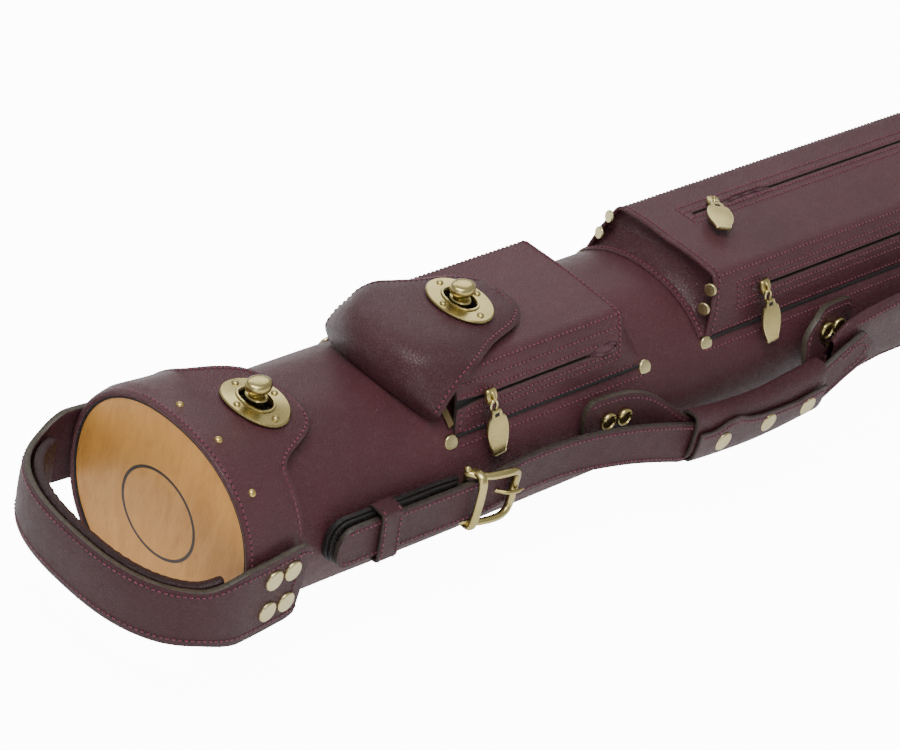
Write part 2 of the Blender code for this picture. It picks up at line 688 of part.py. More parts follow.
def bar(name, start, end, radius, sides=10):
    """A round bar between two design points."""
    start, end = Vector(start), Vector(end)
    way = end - start
    turn = Vector((0, 0, 1)).rotation_difference(way.normalized()).to_matrix().to_4x4()
    bm = bmesh.new()
    bmesh.ops.create_cone(bm, cap_ends=True, segments=sides, radius1=radius, radius2=radius,
                          depth=way.length, matrix=Matrix.Translation((start + end) / 2) @ turn)
    return finish(name, bm, brass, True)


BUCKLE_PIN = (128.0, -57.4)
BUCKLE_TOP_Z = 16.4
BUCKLE_BOTTOM_Z = -9.4
BUCKLE_BAR = 1.7             # radius of the thick bars
HOLD_BAR = (131.5, -65.6)
FRONT_BAR = (155.0, -64.4)


def make_buckle():
    """The frame turns on its pin; the prong turns on the same pin and ends on the front bar."""
    px, py = BUCKLE_PIN
    low, high = BUCKLE_BOTTOM_Z, BUCKLE_TOP_Z
    frame = bar("buckle_frame", (px, py, low - 1.6), (px, py, high + 1.6), 1.3)
    bars = [bar("front_bar", (*FRONT_BAR, low - 1), (*FRONT_BAR, high + 1), 1.8),
            bar("hold_bar", (*HOLD_BAR, low - 1), (*HOLD_BAR, high + 1), BUCKLE_BAR)]
    for z in (low, high):
        bars.append(bar("arm", (px - 1.2, py, z), (FRONT_BAR[0] + 1, FRONT_BAR[1], z), BUCKLE_BAR))
        inward = 0.1 if z == low else -0.1
        bars.append(bar("riser", (HOLD_BAR[0], -58.6, z + inward), (*HOLD_BAR, z + inward), 1.6))
    join_to(frame, bars)
    set_origin(frame, px, py, low)
    prong = bar("buckle_prong", (px + 1.9, py - 0.3, PRONG_Z), (142.2, -57.9, PRONG_Z), 1.0)
    join_to(prong, [bar("rise", (141.6, -57.8, PRONG_Z), (149.2, -66.7, PRONG_Z), 1.0),
                    bar("tip", (148.6, -66.2, PRONG_Z), (158.0, -68.3, PRONG_Z), 1.0)])
    set_origin(prong, px, py, PRONG_Z)


# --- carry handle ----------------------------------------------------------------------------------------------
HANDLE_ROUTE = ((245.0, -56.4, 11.0, 11.0), (252.0, -58.4, 7.0, 10.4), (258.5, -61.4, 2.4, 9.6),
                (264.5, -64.0, -0.8, 8.6), (270.5, -65.6, -3.0, 7.6), (280.0, -65.7, -4.0, 7.2),
                (317.0, -65.7, -4.4, 7.2), (352.0, -65.7, -4.0, 7.2), (361.0, -65.6, -3.6, 7.4),
                (365.4, -65.0, -2.6, 7.6), (368.4, -62.4, 3.0, 9.4), (370.4, -58.6, 10.0, 12.0))
HANDLE_SWING = (-56.5, 11.0)         # y and z of the line the handle turns about
GRIP = (271.0, 364.5)
GRIP_TOP_Z = 7.6
GRIP_BOTTOM_Z = -19.5
GRIP_INNER_Y = -61.6
GRIP_OUTER_Y = -74.4
GRIP_LEATHER = 2.2
SNAP_XS = (290.5, 323.5, 353.0)
SNAP_Z = -9.5
ANCHOR_Y = -53.3                     # inner face of both anchors
ANCHORS = (("front", (209.0, 244.0), 12.5, 11.5, ((222.9, 12.2), (233.6, 11.6))),
           ("rear", (371.4, 400.0), 13.5, 14.0, ((378.4, 15.6), (388.6, 14.9), (387.4, 2.6))))


def make_carry_handle():
    rows = [[(x, y, z + side * half) for side in (-1, 0, 1)] for x, y, z, half in HANDLE_ROUTE]
    strap = ribbon("carry_handle_strap", rows, burgundy, 3.0)
    set_origin(strap, HANDLE_ROUTE[0][0], *HANDLE_SWING)
    fold = [(GRIP_INNER_Y, GRIP_BOTTOM_Z), (GRIP_INNER_Y, GRIP_TOP_Z - 6.0), (GRIP_INNER_Y - 1.2, GRIP_TOP_Z - 2.0),
            (GRIP_INNER_Y - 4.0, GRIP_TOP_Z), (GRIP_OUTER_Y + 4.0, GRIP_TOP_Z)]
    wrap = ribbon("grip_wrap", [[(x, y, z) for y, z in fold] for x in GRIP], burgundy, GRIP_LEATHER)
    set_origin(wrap, GRIP[0], *HANDLE_SWING)
    cover_fold = [(GRIP_OUTER_Y + 2.4, GRIP_TOP_Z - 0.8), (GRIP_OUTER_Y, GRIP_TOP_Z - 4.4),
                  (GRIP_OUTER_Y, GRIP_BOTTOM_Z)]
    cover = ribbon("grip_cover", [[(x, y, z) for y, z in cover_fold] for x in GRIP], burgundy, GRIP_LEATHER)
    set_origin(cover, sum(GRIP) / 2, GRIP_OUTER_Y + 3.2, GRIP_TOP_Z + GRIP_LEATHER / 2)
    for number, x in enumerate(SNAP_XS, start=1):
        disc_on(f"grip_snap_{number}", (x, GRIP_OUTER_Y - GRIP_LEATHER / 2 - GAP, SNAP_Z), (0, -1, 0), 5.4, 2.0, brass)
    for anchor in ANCHORS:
        make_anchor(*anchor)


def make_anchor(label, span, z, half, rivets):
    """A strap end riveted to the case's side."""
    thickness = 2.6
    x0, x1 = span
    outline = stadium(x0, x1, half)
    if label == "rear":
        outline = [(x0 + x1 - u, v) for u, v in outline]
    plate(f"handle_anchor_{label}", outline, burgundy, lambda u, v, h: (u, ANCHOR_Y - h, z + v), thickness)
    face = ANCHOR_Y - thickness - GAP
    backing = plate(f"handle_rivets_{label}", rivet_backing(rivets), brass, lambda u, v, h: (u, face - h, v), 0.6)
    join_to(backing, [disc_on("cap", (x, face - 0.2, zz), (0, -1, 0), 4.9, 1.7, brass) for x, zz in rivets])


def rivet_backing(rivets):
    """Outline of the plate joining the rivets, inside their caps."""
    if len(rivets) == 2:
        (x0, z0), (x1, z1) = rivets
        return [(x0, z0 - 2), (x1, z1 - 2), (x1, z1 + 2), (x0, z0 + 2)]
    return list(rivets)


# --- assembly --------------------------------------------------------------------------------------------------
HINGED_PIECES = (
    (("lid_band", "lid_disc", "lid_pad"), (33.0, 0.0, -51.0)),
    (("lid_tongue", "lid_lock_plate"), (TONGUE_ROOT_X - 0.3, 0.0, 44.5)),
    (("end_handle_strap", "end_handle_lining"), (0.6, 0.0, LOOP_CENTRE_Z)),
    (("pocket_flap", "pocket_lock_plate"), (FLAP_PROFILE[0][0], 0.0, 39.8)),
)

make_body()
make_inside()
make_far_end()
make_lid()
make_tongue()
make_lid_lock()
make_end_handle()
make_small_pocket()
make_large_pocket()
make_zips()
make_flap()
make_straps()
make_keeper()
make_buckle()
make_carry_handle()
for names, pivot in HINGED_PIECES:
    for name in names:
        set_origin(bpy.data.objects[name], *pivot)
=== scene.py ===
"""Looks of the leather cue case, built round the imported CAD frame.

Shapes are worked out in the design's own millimetres: x runs from the lid's face to the far end, y is
across with the strap side at -y, z is up from the middle of the lid's face. to_row() turns them into metres
in the row frame.
"""

import math

import bpy
import numpy as np
from mathutils import Matrix, Vector
from mathutils.bvhtree import BVHTree


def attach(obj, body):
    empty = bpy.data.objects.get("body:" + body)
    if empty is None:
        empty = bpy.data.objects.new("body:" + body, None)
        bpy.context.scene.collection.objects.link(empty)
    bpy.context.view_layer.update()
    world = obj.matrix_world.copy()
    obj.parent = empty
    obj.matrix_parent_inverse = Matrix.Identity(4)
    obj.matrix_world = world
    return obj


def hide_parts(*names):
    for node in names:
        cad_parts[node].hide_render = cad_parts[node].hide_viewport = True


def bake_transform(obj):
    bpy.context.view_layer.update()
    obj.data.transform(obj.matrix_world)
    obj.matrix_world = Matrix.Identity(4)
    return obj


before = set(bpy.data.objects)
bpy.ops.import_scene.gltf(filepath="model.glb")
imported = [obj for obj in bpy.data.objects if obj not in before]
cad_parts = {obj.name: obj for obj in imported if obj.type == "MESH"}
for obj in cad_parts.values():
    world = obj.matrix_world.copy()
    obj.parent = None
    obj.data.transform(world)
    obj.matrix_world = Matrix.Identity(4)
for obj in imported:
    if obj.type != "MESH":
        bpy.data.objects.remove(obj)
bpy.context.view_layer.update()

MIDDLE = np.array([406.5, -6.1, -52.0])


def to_row(points):
    return (np.asarray(points, float) - MIDDLE) / 1000.0


def to_design(points):
    return np.asarray(points, float) * 1000.0 + MIDDLE


def place(name, data):
    """A new object in the scene."""
    item = bpy.data.objects.new(name, data)
    bpy.context.scene.collection.objects.link(item)
    return item


# --- camera, floor and light --------------------------------------------------------------------------------
def add_camera():
    camera = place("camera", bpy.data.cameras.new("camera"))
    right = Vector((0.71072, -0.67125, 0.21046))
    up = Vector((0.26306, 0.53107, 0.80546))
    back = -Vector((0.65244, 0.51709, -0.55402))
    turn = Matrix((right, up, back)).transposed().to_4x4()
    camera.matrix_world = Matrix.Translation(to_row((-822.27, -787.88, 862.17))) @ turn
    camera.data.lens = 132.75
    camera.data.sensor_width = 36.0
    camera.data.clip_end = 50
    bpy.context.scene.camera = camera


def area_light(name, spot, target, size, power):
    data = bpy.data.lights.new(name, "AREA")
    data.shape = "RECTANGLE"
    data.size, data.size_y = size
    data.energy = power
    light = place(name, data)
    light.location = spot
    light.rotation_euler = (Vector(target) - Vector(spot)).to_track_quat("-Z", "Y").to_euler()


FLOOR_REACH = 6.0
FLOOR_DROP = -0.0002
FLOOR_GLOW = (0.35, 12.0)       # as the case sees it, and as the camera does


def add_stage():
    """A white room: even light from the world, three soft lamps and a floor that looks white to the camera."""
    world = bpy.data.worlds.new("studio")
    bpy.context.scene.world = world
    world.use_nodes = True
    world.node_tree.nodes["Background"].inputs["Color"].default_value = (1, 1, 1, 1)
    world.node_tree.nodes["Background"].inputs["Strength"].default_value = 0.50
    area_light("key", (-0.7, -0.2, 1.7), (-0.1, 0, 0), (1.3, 0.9), 30)
    area_light("front", (-1.6, -1.5, 0.8), (-0.15, 0, 0), (0.9, 0.8), 8)
    area_light("rim", (0.7, 1.3, 1.2), (0, 0, 0), (1.6, 0.5), 8)
    mesh = bpy.data.meshes.new("floor")
    corners = ((-1, -1), (1, -1), (1, 1), (-1, 1))
    mesh.from_pydata([(x * FLOOR_REACH, y * FLOOR_REACH, FLOOR_DROP) for x, y in corners], [], [(0, 1, 2, 3)])
    floor = place("floor", mesh)
    mesh.materials.append(plain("floor_white", (0.9, 0.9, 0.9), 0.9))
    tree = mesh.materials[0].node_tree
    shader = tree.nodes["Principled BSDF"]
    shader.inputs["Emission Color"].default_value = (1, 1, 1, 1)
    seen = tree.nodes.new("ShaderNodeLightPath")
    glow = tree.nodes.new("ShaderNodeMapRange")
    glow.inputs["To Min"].default_value, glow.inputs["To Max"].default_value = FLOOR_GLOW
    tree.links.new(seen.outputs["Is Camera Ray"], glow.inputs["Value"])
    tree.links.new(glow.outputs["Result"], shader.inputs["Emission Strength"])


# --- materials ----------------------------------------------------------------------------------------------
class Nodes:
    """A short hand for building a node material."""

    def __init__(self, name):
        self.material = bpy.data.materials.new(name)
        self.material.use_nodes = True
        self.tree = self.material.node_tree
        self.shader = self.tree.nodes["Principled BSDF"]

    def add(self, kind, **values):
        node = self.tree.nodes.new(kind)
        for key, value in values.items():
            if hasattr(node, key):
                setattr(node, key, value)
            else:
                node.inputs[key].default_value = value
        return node

    def link(self, source, target):
        self.tree.links.new(source, target)

    def position(self, scale=(1, 1, 1), turn=(0, 0, 0)):
        coords = self.add("ShaderNodeTexCoord")
        mapping = self.add("ShaderNodeMapping")
        mapping.inputs["Scale"].default_value = scale
        mapping.inputs["Rotation"].default_value = turn
        self.link(coords.outputs["Object"], mapping.inputs["Vector"])
        return mapping.outputs["Vector"]

    def noise(self, vector, scale, detail=4.0, rough=0.55, distortion=0.0):
        node = self.add("ShaderNodeTexNoise", Scale=scale, Detail=detail, Roughness=rough,
                        Distortion=distortion)
        self.link(vector, node.inputs["Vector"])
        return node.outputs["Fac"]

    def spread(self, value, low, high, to_low, to_high):
        node = self.add("ShaderNodeMapRange")
        for key, number in (("From Min", low), ("From Max", high), ("To Min", to_low), ("To Max", to_high)):
            node.inputs[key].default_value = number
        self.link(value, node.inputs["Value"])
        return node.outputs["Result"]

    def mix(self, factor, a, b):
        node = self.add("ShaderNodeMix", data_type="RGBA")
        self.link(factor, node.inputs["Factor"])
        for socket, value in ((node.inputs[6], a), (node.inputs[7], b)):
            if isinstance(value, tuple):
                socket.default_value = (*value, 1.0)
            else:
                self.link(value, socket)
        return node.outputs[2]

    def math(self, operation, a, b):
        node = self.add("ShaderNodeMath", operation=operation)
        for socket, value in zip(node.inputs, (a, b)):
            if isinstance(value, (int, float)):
                socket.default_value = value
            else:
                self.link(value, socket)
        return node.outputs[0]

    def bump(self, height, strength, distance):
        node = self.add("ShaderNodeBump", Strength=strength, Distance=distance)
        self.link(height, node.inputs["Height"])
        self.link(node.outputs["Normal"], self.shader.inputs["Normal"])

    def set(self, **values):
        for key, value in values.items():
            name = key.replace("_", " ")
            self.shader.inputs[name].default_value = (*value, 1.0) if isinstance(value, tuple) else value
        return self


def plain(name, color, roughness):
    n = Nodes(name)
    n.set(Base_Color=color, Roughness=roughness)
    return n.material


def leather(name, base, dark, rough=(0.36, 0.52), grain_mm=1.25, strength=0.9, coat=0.12):
    """Pebbled leather: cells between creases, the creases darkened as painted shade, fine pores, slow colour
    drift and slightly uneven gloss.
    """
    n = Nodes(name)
    where = n.position()
    cells = n.add("ShaderNodeTexVoronoi", feature="DISTANCE_TO_EDGE", Scale=1000.0 / grain_mm)
    wobble = n.add("ShaderNodeTexNoise", Scale=420.0, Detail=2.0)
    n.link(where, wobble.inputs["Vector"])
    shift = n.add("ShaderNodeVectorMath", operation="MULTIPLY_ADD")
    n.link(wobble.outputs["Color"], shift.inputs[0])
    shift.inputs[1].default_value = (0.0011, 0.0011, 0.0011)
    n.link(where, shift.inputs[2])
    n.link(shift.outputs[0], cells.inputs["Vector"])
    crease = n.spread(cells.outputs["Distance"], 0.0, 0.16, 0.0, 1.0)
    pores = n.noise(where, 1500.0, 3.0)
    waves = n.noise(where, 170.0, 3.0)
    drift = n.noise(where, 16.0, 3.0)
    height = n.math("ADD", n.math("MULTIPLY", crease, 0.55), n.math("MULTIPLY", pores, 0.35))
    height = n.math("ADD", height, n.math("MULTIPLY", waves, 0.9))
    n.bump(height, strength, 0.0005)
    tone = n.mix(n.spread(drift, 0.3, 0.7, 0.0, 1.0), base, dark)
    # painted shade: the creases between the pebbles are mixed a quarter of the way to the dark tone
    tone = n.mix(n.spread(crease, 0.0, 1.0, 0.75, 1.0), dark, tone)
    n.link(tone, n.shader.inputs["Base Color"])
    n.link(n.spread(n.math("ADD", n.math("MULTIPLY", pores, 0.5), n.math("MULTIPLY", waves, 0.5)), 0.3, 0.7,
                    *rough),
           n.shader.inputs["Roughness"])
    n.set(Coat_Weight=coat, Coat_Roughness=0.32, Specular_IOR_Level=0.32)
    return n.material


def edge_paint(name, base, light):
    """Burnished and painted cut edge."""
    n = Nodes(name)
    where = n.position((1.0, 1.0, 3.0))
    fibre = n.noise(where, 700.0, 4.0)
    n.link(n.mix(n.spread(fibre, 0.35, 0.7, 0.0, 1.0), base, light), n.shader.inputs["Base Color"])
    n.bump(fibre, 0.4, 0.0002)
    n.set(Roughness=0.5)
    return n.material


def brushed_brass(name, base, dark, rough=(0.22, 0.36)):
    n = Nodes(name)
    where = n.position((1.0, 1.0, 0.05))
    lines = n.noise(where, 2600.0, 2.0)
    stain = n.noise(n.position(), 60.0, 2.0)
    tone = n.mix(n.spread(stain, 0.35, 0.75, 0.0, 0.8), base, dark)
    n.link(tone, n.shader.inputs["Base Color"])
    n.link(n.spread(lines, 0.3, 0.7, *rough), n.shader.inputs["Roughness"])
    n.bump(lines, 0.08, 0.0001)
    n.set(Metallic=1.0)
    return n.material


def wood_grain(name, light, dark, ring):
    """Pale veneer with fine pores along one slanting direction and a thin inlaid oval ring."""
    n = Nodes(name)
    turn = (math.radians(40), 0, 0)
    stretched = n.position((1.0, 3.2, 0.9), turn)
    bands = n.noise(stretched, 30.0, 5.0, 0.6, 1.2)
    pores = n.noise(n.position((1.0, 9.0, 1.0), turn), 150.0, 4.0)
    cloud = n.noise(n.position(), 22.0, 2.0)
    tone = n.mix(n.spread(bands, 0.32, 0.7, 0.0, 0.85), light, dark)
    tone = n.mix(n.spread(pores, 0.52, 0.72, 0.0, 0.45), tone,
                 (dark[0] * 0.55, dark[1] * 0.5, dark[2] * 0.45))
    tone = n.mix(n.spread(cloud, 0.3, 0.7, 0.0, 0.35), tone,
                 (light[0] * 1.12, light[1] * 1.15, light[2] * 1.2))
    split = n.add("ShaderNodeSeparateXYZ")
    coords = n.add("ShaderNodeTexCoord")
    n.link(coords.outputs["Object"], split.inputs[0])
    y = n.math("DIVIDE", n.math("SUBTRACT", split.outputs["Y"], 0.0061), 0.0565)
    z = n.math("DIVIDE", n.math("SUBTRACT", split.outputs["Z"], 0.052), 0.0478)
    radius = n.math("SQRT", n.math("ADD", n.math("MULTIPLY", y, y), n.math("MULTIPLY", z, z)), 0.0)
    off = n.math("ABSOLUTE", n.math("SUBTRACT", radius, 0.42), 0.0)
    inlay = n.spread(off, 0.013, 0.017, 1.0, 0.0)
    n.link(n.mix(inlay, tone, ring), n.shader.inputs["Base Color"])
    n.bump(pores, 0.12, 0.0002)
    n.link(n.spread(bands, 0.3, 0.7, 0.36, 0.5), n.shader.inputs["Roughness"])
    n.set(Coat_Weight=0.1, Coat_Roughness=0.25, Specular_IOR_Level=0.35)
    return n.material


def woven(name, base, light, pitch_mm):
    n = Nodes(name)
    where = n.position((1.0, 1.0, 1.0))
    wave = n.add("ShaderNodeTexWave", Scale=1000.0 / pitch_mm / 6.28, Distortion=0.4)
    n.link(where, wave.inputs["Vector"])
    n.link(n.mix(wave.outputs["Fac"], base, light), n.shader.inputs["Base Color"])
    n.bump(wave.outputs["Fac"], 0.6, 0.0003)
    n.set(Roughness=0.85, Sheen_Weight=0.2)
    return n.material


BURGUNDY = leather("burgundy_leather", (0.084, 0.023, 0.029), (0.060, 0.016, 0.020))
SOFT_BURGUNDY = leather("soft_burgundy_leather", (0.062, 0.016, 0.022), (0.042, 0.010, 0.014), (0.34, 0.5),
                        1.4)
STRAP_LEATHER = leather("strap_leather", (0.058, 0.013, 0.019), (0.040, 0.008, 0.012), (0.42, 0.58), 1.0, 0.9,
                        0.05)
DARK_LEATHER = leather("dark_brown_leather", (0.034, 0.010, 0.012), (0.018, 0.006, 0.007), (0.36, 0.5), 1.0)
SUEDE = leather("olive_lining", (0.14, 0.10, 0.04), (0.06, 0.04, 0.018), (0.7, 0.85), 0.8, 0.5, 0.0)
EDGE = edge_paint("edge_paint", (0.012, 0.008, 0.007), (0.05, 0.036, 0.026))
TAN_EDGE = edge_paint("tan_edge", (0.022, 0.016, 0.010), (0.06, 0.048, 0.030))
THREAD = woven("burgundy_thread", (0.11, 0.014, 0.034), (0.20, 0.032, 0.065), 0.5)
# near black discs used as painted shade in the needle holes
HOLE_SHADE = plain("stitch_hole_shade", (0.006, 0.002, 0.003), 0.8)
BRASS = brushed_brass("antique_brass", (0.52, 0.43, 0.18), (0.32, 0.26, 0.10))
BRIGHT_BRASS = brushed_brass("bright_brass", (0.62, 0.54, 0.29), (0.46, 0.39, 0.18), (0.24, 0.34))
GOLD_BRASS = brushed_brass("screw_brass", (0.66, 0.48, 0.16), (0.40, 0.28, 0.08), (0.24, 0.36))
WOOD = wood_grain("veneer", (0.66, 0.31, 0.07), (0.50, 0.215, 0.042), (0.035, 0.022, 0.014))
TAPE = woven("zip_tape", (0.05, 0.010, 0.018), (0.13, 0.03, 0.05), 0.5)
# flat black used as painted shade: the lid's rim gap, under the turn-lock slots, inside zip slits, along pocket
# seams and in the pull's window
SHADE_BLACK = plain("painted_shade_black", (0.006, 0.005, 0.005), 0.75)
FOAM = woven("pad_cloth", (0.035, 0.02, 0.02), (0.06, 0.03, 0.03), 1.1)
BOARD = woven("core_board", (0.10, 0.075, 0.055), (0.15, 0.11, 0.08), 2.0)
BLACK_LEATHER = leather("black_edge_leather", (0.012, 0.008, 0.008), (0.007, 0.005, 0.005), (0.35, 0.5), 1.0,
                        0.7)
LINER = woven("tube_liner", (0.02, 0.02, 0.022), (0.04, 0.04, 0.045), 0.9)


# --- mesh helpers -------------------------------------------------------------------------------------------
SURFACES = {}


def evaluated(item):
    """Applies the item's modifiers into its mesh."""
    graph = bpy.context.evaluated_depsgraph_get()
    mesh = bpy.data.meshes.new_from_object(item.evaluated_get(graph))
    item.modifiers.clear()
    item.data = mesh


def new_item(name, verts, faces, materials):
    mesh = bpy.data.meshes.new(name)
    mesh.from_pydata(to_row(verts).tolist(), [], [list(map(int, f)) for f in faces])
    item = place(name, mesh)
    for material in materials if isinstance(materials, (list, tuple)) else [materials]:
        mesh.materials.append(material)
    return item


def mesh_piece(name, verts, faces, materials, body, indices=None, angle=40, stands=(), bend=None):
    """A named mesh riding on a CAD body; with bend = (body a, body b, start, end) given it rides on no body and
    is not bent, and the bodies and points in bend are not used.
    """
    item = new_item(name, verts, faces, materials)
    item.data.validate()
    if indices is not None:
        item.data.polygons.foreach_set("material_index", np.asarray(indices, np.int32))
    return dress(item, body, angle, stands, bend)


def dress(item, body, angle, stands, bend):
    """Smooth shading, the body it moves with unless bend is given, and the CAD nodes it stands for."""
    item.data.shade_smooth()
    item.data.set_sharp_from_angle(angle=math.radians(angle))
    if bend:
        a, b, start, end = bend
        tuple(to_row(start))
        tuple(to_row(end))
        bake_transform(item)
    else:
        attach(item, body)
    if stands:
        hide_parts(*stands)
    return item


def grid_faces(rows, columns, close_rows=False, close_columns=False):
    faces = []
    for i in range(rows if close_rows else rows - 1):
        for k in range(columns if close_columns else columns - 1):
            a, b = i * columns + k, i * columns + (k + 1) % columns
            c, d = ((i + 1) % rows) * columns + (k + 1) % columns, ((i + 1) % rows) * columns + k
            faces.append((a, b, c, d))
    return faces


def end_caps(rows, columns, base=0):
    """The two end faces of a closed-round grid whose first point is number base."""
    last = base + (rows - 1) * columns
    return [tuple(range(base, base + columns))[::-1], tuple(range(last, last + columns))]


def outside_slot(verts, face, slot_x):
    """True for a face that a turn-lock's slot leaves standing."""
    x, y, z = verts[list(face)].mean(axis=0)
    return z < 20 or ((x - slot_x) / 6.6) ** 2 + (y / 9.4) ** 2 > 1


def turned_outwards(verts, faces, inside, sample):
    """The faces with their normals away from a point inside, judged by the first few."""
    a, b, c = (verts[[f[i] for f in faces[:sample]]] for i in range(3))
    out = np.cross(b - a, c - a)
    return [f[::-1] for f in faces] if (out * (a - np.asarray(inside, float))).sum() < 0 else faces


def sheet(name, grid, materials, body, thickness=0.0, inside=None, closed=False, bevel=0.5, stands=(),
          bend=None, offset=None, slot_x=None):
    """A grid of points as a skin, thickened inwards from its outer face or on both sides, with a painted rim."""
    grid = np.asarray(grid, float)
    rows, columns = grid.shape[:2]
    verts = grid.reshape(-1, 3)
    faces = grid_faces(rows, columns, close_columns=closed)
    if slot_x is not None:
        faces = [f for f in faces if outside_slot(verts, f, slot_x)]
    if inside is not None:
        faces = turned_outwards(verts, faces, inside, (rows - 1) * 2)
    item = new_item(name, verts, faces, materials)
    if thickness:
        solid = item.modifiers.new("thickness", "SOLIDIFY")
        solid.thickness = thickness / 1000
        solid.offset = offset if offset is not None else (-1.0 if inside is not None else 0.0)
        solid.material_offset_rim = 1 if len(item.data.materials) > 1 else 0
        solid.use_quality_normals = True
        if bevel:
            soft = item.modifiers.new("edges", "BEVEL")
            soft.width = bevel / 1000
            soft.segments = 2
            soft.limit_method = "ANGLE"
            soft.angle_limit = math.radians(50)
        evaluated(item)
    SURFACES[name] = BVHTree.FromPolygons(to_design([v.co for v in item.data.vertices]).tolist(),
                                          [list(p.vertices) for p in item.data.polygons])
    return dress(item, body, 40, stands, bend)


def curve(points, count):
    """Catmull-Rom through the points, evenly resampled."""
    p = np.asarray(points, float)
    p = np.vstack([2 * p[0] - p[1], p, 2 * p[-1] - p[-2]])
    fine = []
    for i in range(1, len(p) - 2):
        t = np.linspace(0, 1, 16, endpoint=False)[:, None]
        a, b, c, d = p[i - 1], p[i], p[i + 1], p[i + 2]
        fine.append(0.5 * (2 * b + (c - a) * t + (2 * a - 5 * b + 4 * c - d) * t ** 2
                           + (3 * b - a - 3 * c + d) * t ** 3))
    fine = np.vstack(fine + [p[-2:-1]])
    return evenly(fine, count)


def evenly(points, count):
    points = np.asarray(points, float)
    steps = np.r_[0, np.cumsum(np.linalg.norm(np.diff(points[:, :3], axis=0), axis=1))]
    spots = np.linspace(0, steps[-1], count)
    return np.stack([np.interp(spots, steps, points[:, i]) for i in range(points.shape[1])], 1)


def length_of(points):
    return np.linalg.norm(np.diff(np.asarray(points, float), axis=0), axis=1).sum()


def unit(v):
    v = np.asarray(v, float)
    return v / (np.linalg.norm(v, axis=-1, keepdims=True) + 1e-12)


STITCH_PITCH = 2.7
STITCH_LENGTH = 1.8
STITCH_RADIUS = 0.40
STITCH_LIFT = 0.12
STITCH_SIDES = 6
STITCH_REACH = 6.0        # a stitch further than this from the leather is left out
STITCH_SHAPE = ((-0.5, 0.35, -0.25), (-0.3, 0.95, 0.75), (0.3, 0.95, 0.75), (0.5, 0.35, -0.25))


def stitches(name, path, target, body, bend=None):
    """A row of thread stitches laid on a surface along a path, with a dark disc between each pair as painted
    shade of the needle hole.
    """
    path = np.asarray(path, float)
    count = max(2, int(length_of(path) / STITCH_PITCH))
    spots = evenly(path, count + 1)
    verts, faces, kinds = [], [], []
    angles = np.arange(STITCH_SIDES) * 2 * math.pi / STITCH_SIDES
    for k in range(count):
        middle = (spots[k] + spots[k + 1]) / 2
        found, normal, _, distance = SURFACES[target].find_nearest(Vector(middle), STITCH_REACH)
        if found is None:
            continue
        along = unit(spots[k + 1] - spots[k])
        n = np.array(normal)
        outside = np.dot(n, middle - np.array(found)) >= -0.02 * distance or distance < 0.05
        n = n if outside else -n
        along = unit(along - n * (along @ n))
        side = np.cross(n, along)
        base = len(verts)
        for t, r, h in STITCH_SHAPE:
            rise = h * STITCH_LIFT + (0.1 if h > 0 else 0.0)
            centre = np.array(found) + along * t * STITCH_LENGTH + n * rise
            for a in angles:
                verts.append(centre + (side * math.cos(a) + n * math.sin(a) * 0.75) * STITCH_RADIUS * r)
        faces += [tuple(base + i for i in f) for f in grid_faces(4, STITCH_SIDES, close_columns=True)]
        kinds += [0] * (3 * STITCH_SIDES)
        # painted shade: a flat dark disc on the leather stands for the shade in the needle hole
        base = len(verts)
        centre = np.array(found) + along * STITCH_PITCH * 0.5 + n * 0.06
        for a in angles:
            verts.append(centre + along * math.cos(a) * 0.52 + side * math.sin(a) * 0.5)
        faces.append(tuple(base + s for s in range(STITCH_SIDES)))
        kinds.append(1)
    return mesh_piece(name, verts, faces, [THREAD, HOLE_SHADE], body, kinds, 60, bend=bend)


def tube(name, path, radius, material, body, sides=12, stands=(), flat=1.0, up=(0, 0, 1), closed=False):
    """A round or flattened bar along a path; radius may be one number or one for each point."""
    path = np.asarray(path, float)
    count = len(path)
    ahead = np.roll(path, -1, 0) - np.roll(path, 1, 0)
    if not closed:
        ahead[0], ahead[-1] = path[1] - path[0], path[-1] - path[-2]
    ahead = unit(ahead)
    radii = np.broadcast_to(np.asarray(radius, float), (count,))
    side = np.cross(up, ahead[0])
    side = unit(side if np.linalg.norm(side) > 0.1 else np.cross((1, 0, 0), ahead[0]))
    verts = []
    for i in range(count):
        side = unit(side - ahead[i] * (side @ ahead[i]))
        other = np.cross(ahead[i], side)
        for k in range(sides):
            a = 2 * math.pi * k / sides
            verts.append(path[i] + radii[i] * (side * math.cos(a) + other * math.sin(a) * flat))
    faces = grid_faces(count, sides, close_rows=closed, close_columns=True)
    if not closed:
        faces += end_caps(count, sides)
    return mesh_piece(name, verts, faces, material, body, None, 50, stands)


